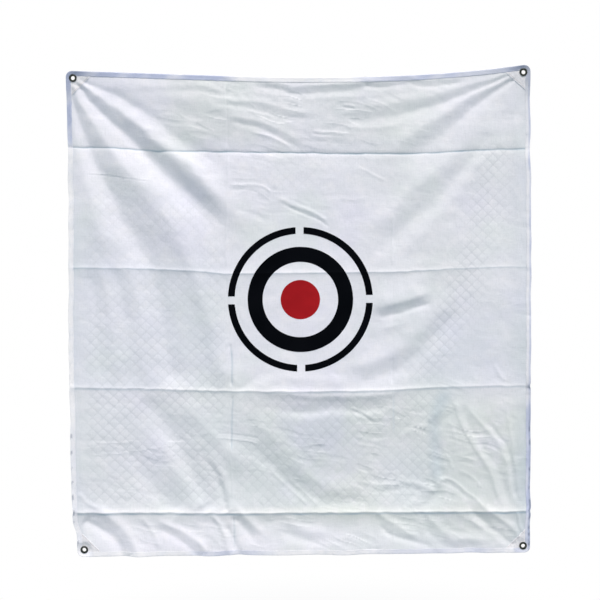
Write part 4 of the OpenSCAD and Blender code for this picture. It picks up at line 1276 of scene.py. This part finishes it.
FLOOR_Z = -2.1
FLOOR_R = 9.0
ROOM_LIGHT = (.66, .89, .98, 1), .31        # its colour, and its strength
BACKDROP = (1, 1, 1, 1), 1.0
FLOOR_COLOUR = .325, .35, .37, 1
FLOOR_WHITE = .7, 1.9, .55, 1.0     # two distances from the middle, and how white the floor is at each
LAMP_AIM = Vector((0, 0, -.72))
LAMP_DISTANCE = 5


def seen_directly(tree):
    """1 for the camera and for what metal and glass show of the room, otherwise 0."""
    path = add_node(tree, "LightPath")
    total = path["Is Camera Ray"]
    for kind in ("Is Glossy Ray", "Is Transmission Ray"):
        total = add_node(tree, "Math", (total, path[kind]), operation="MAXIMUM")[0]
    return total


def world():
    made = bpy.data.worlds.new("studio")
    bpy.context.scene.world = made
    made.use_nodes = True
    tree = made.node_tree
    tree.nodes.clear()
    room, backdrop = (add_node(tree, "Background", light)[0] for light in (ROOM_LIGHT, BACKDROP))
    both = add_node(tree, "MixShader", (seen_directly(tree), room, backdrop))
    add_node(tree, "OutputWorld", (both[0],))


def floor():
    """Pale round floor that turns into the white backdrop away from the cloth's shadow."""
    mesh = bmesh.new()
    bmesh.ops.create_circle(mesh, cap_ends=True, segments=96, radius=FLOOR_R)
    data = bpy.data.meshes.new("floor")
    mesh.to_mesh(data)
    mesh.free()
    ground = add_object("floor", data)
    ground.location = (0, 0, FLOOR_Z)
    s = Shader("floor", base_color=FLOOR_COLOUR, roughness=.8)
    far = s.ramp(s.node("VectorMath", (s.place,), operation="LENGTH")["Value"], *FLOOR_WHITE)
    share = s.times(seen_directly(s.tree), far)
    shown = s.node("MixShader", (share, s.main.outputs[0], s.node("Emission")[0]))[0]
    s.tree.links.new(shown, s.tree.nodes["Material Output"].inputs[0])
    data.materials.append(s.material)


def lamp(name, azimuth, elevation, spread, strength, colour):
    """Even soft light, spread degrees wide."""
    toward = turned(azimuth, elevation)
    data = bpy.data.lights.new(name, "SUN")
    data.angle, data.energy, data.color = radians(spread), strength, colour
    light = add_object(name, data)
    light.location = LAMP_AIM + toward * LAMP_DISTANCE
    light.rotation_mode = "QUATERNION"
    light.rotation_quaternion = toward.to_track_quat("Z", "Y")


# ---- the model

bpy.context.scene.view_settings.view_transform = "Standard"
camera(azimuth=.5625, elevation=3.7871, roll=-.6784, centre=(-.0011, 0, -.6837), distance=3.5852)
world()
floor()
lamp("key_light", azimuth=14, elevation=67, spread=11, strength=3.75, colour=(1, .907, .88))
lamp("back_light", azimuth=200, elevation=58, spread=16, strength=2.75, colour=(1, .92, .885))
cloth_pieces = make_cloth()
make_edges()
for row in ("top", "bottom"):
    for side in ("left", "right"):
        make_patch(row, side)
make_target()

for node, thing in frame["nodes"].items():
    if node.startswith(tuple(METALS)):
        for material_slot in thing.material_slots:
            material_slot.material = METALS[node.split("_")[0]]
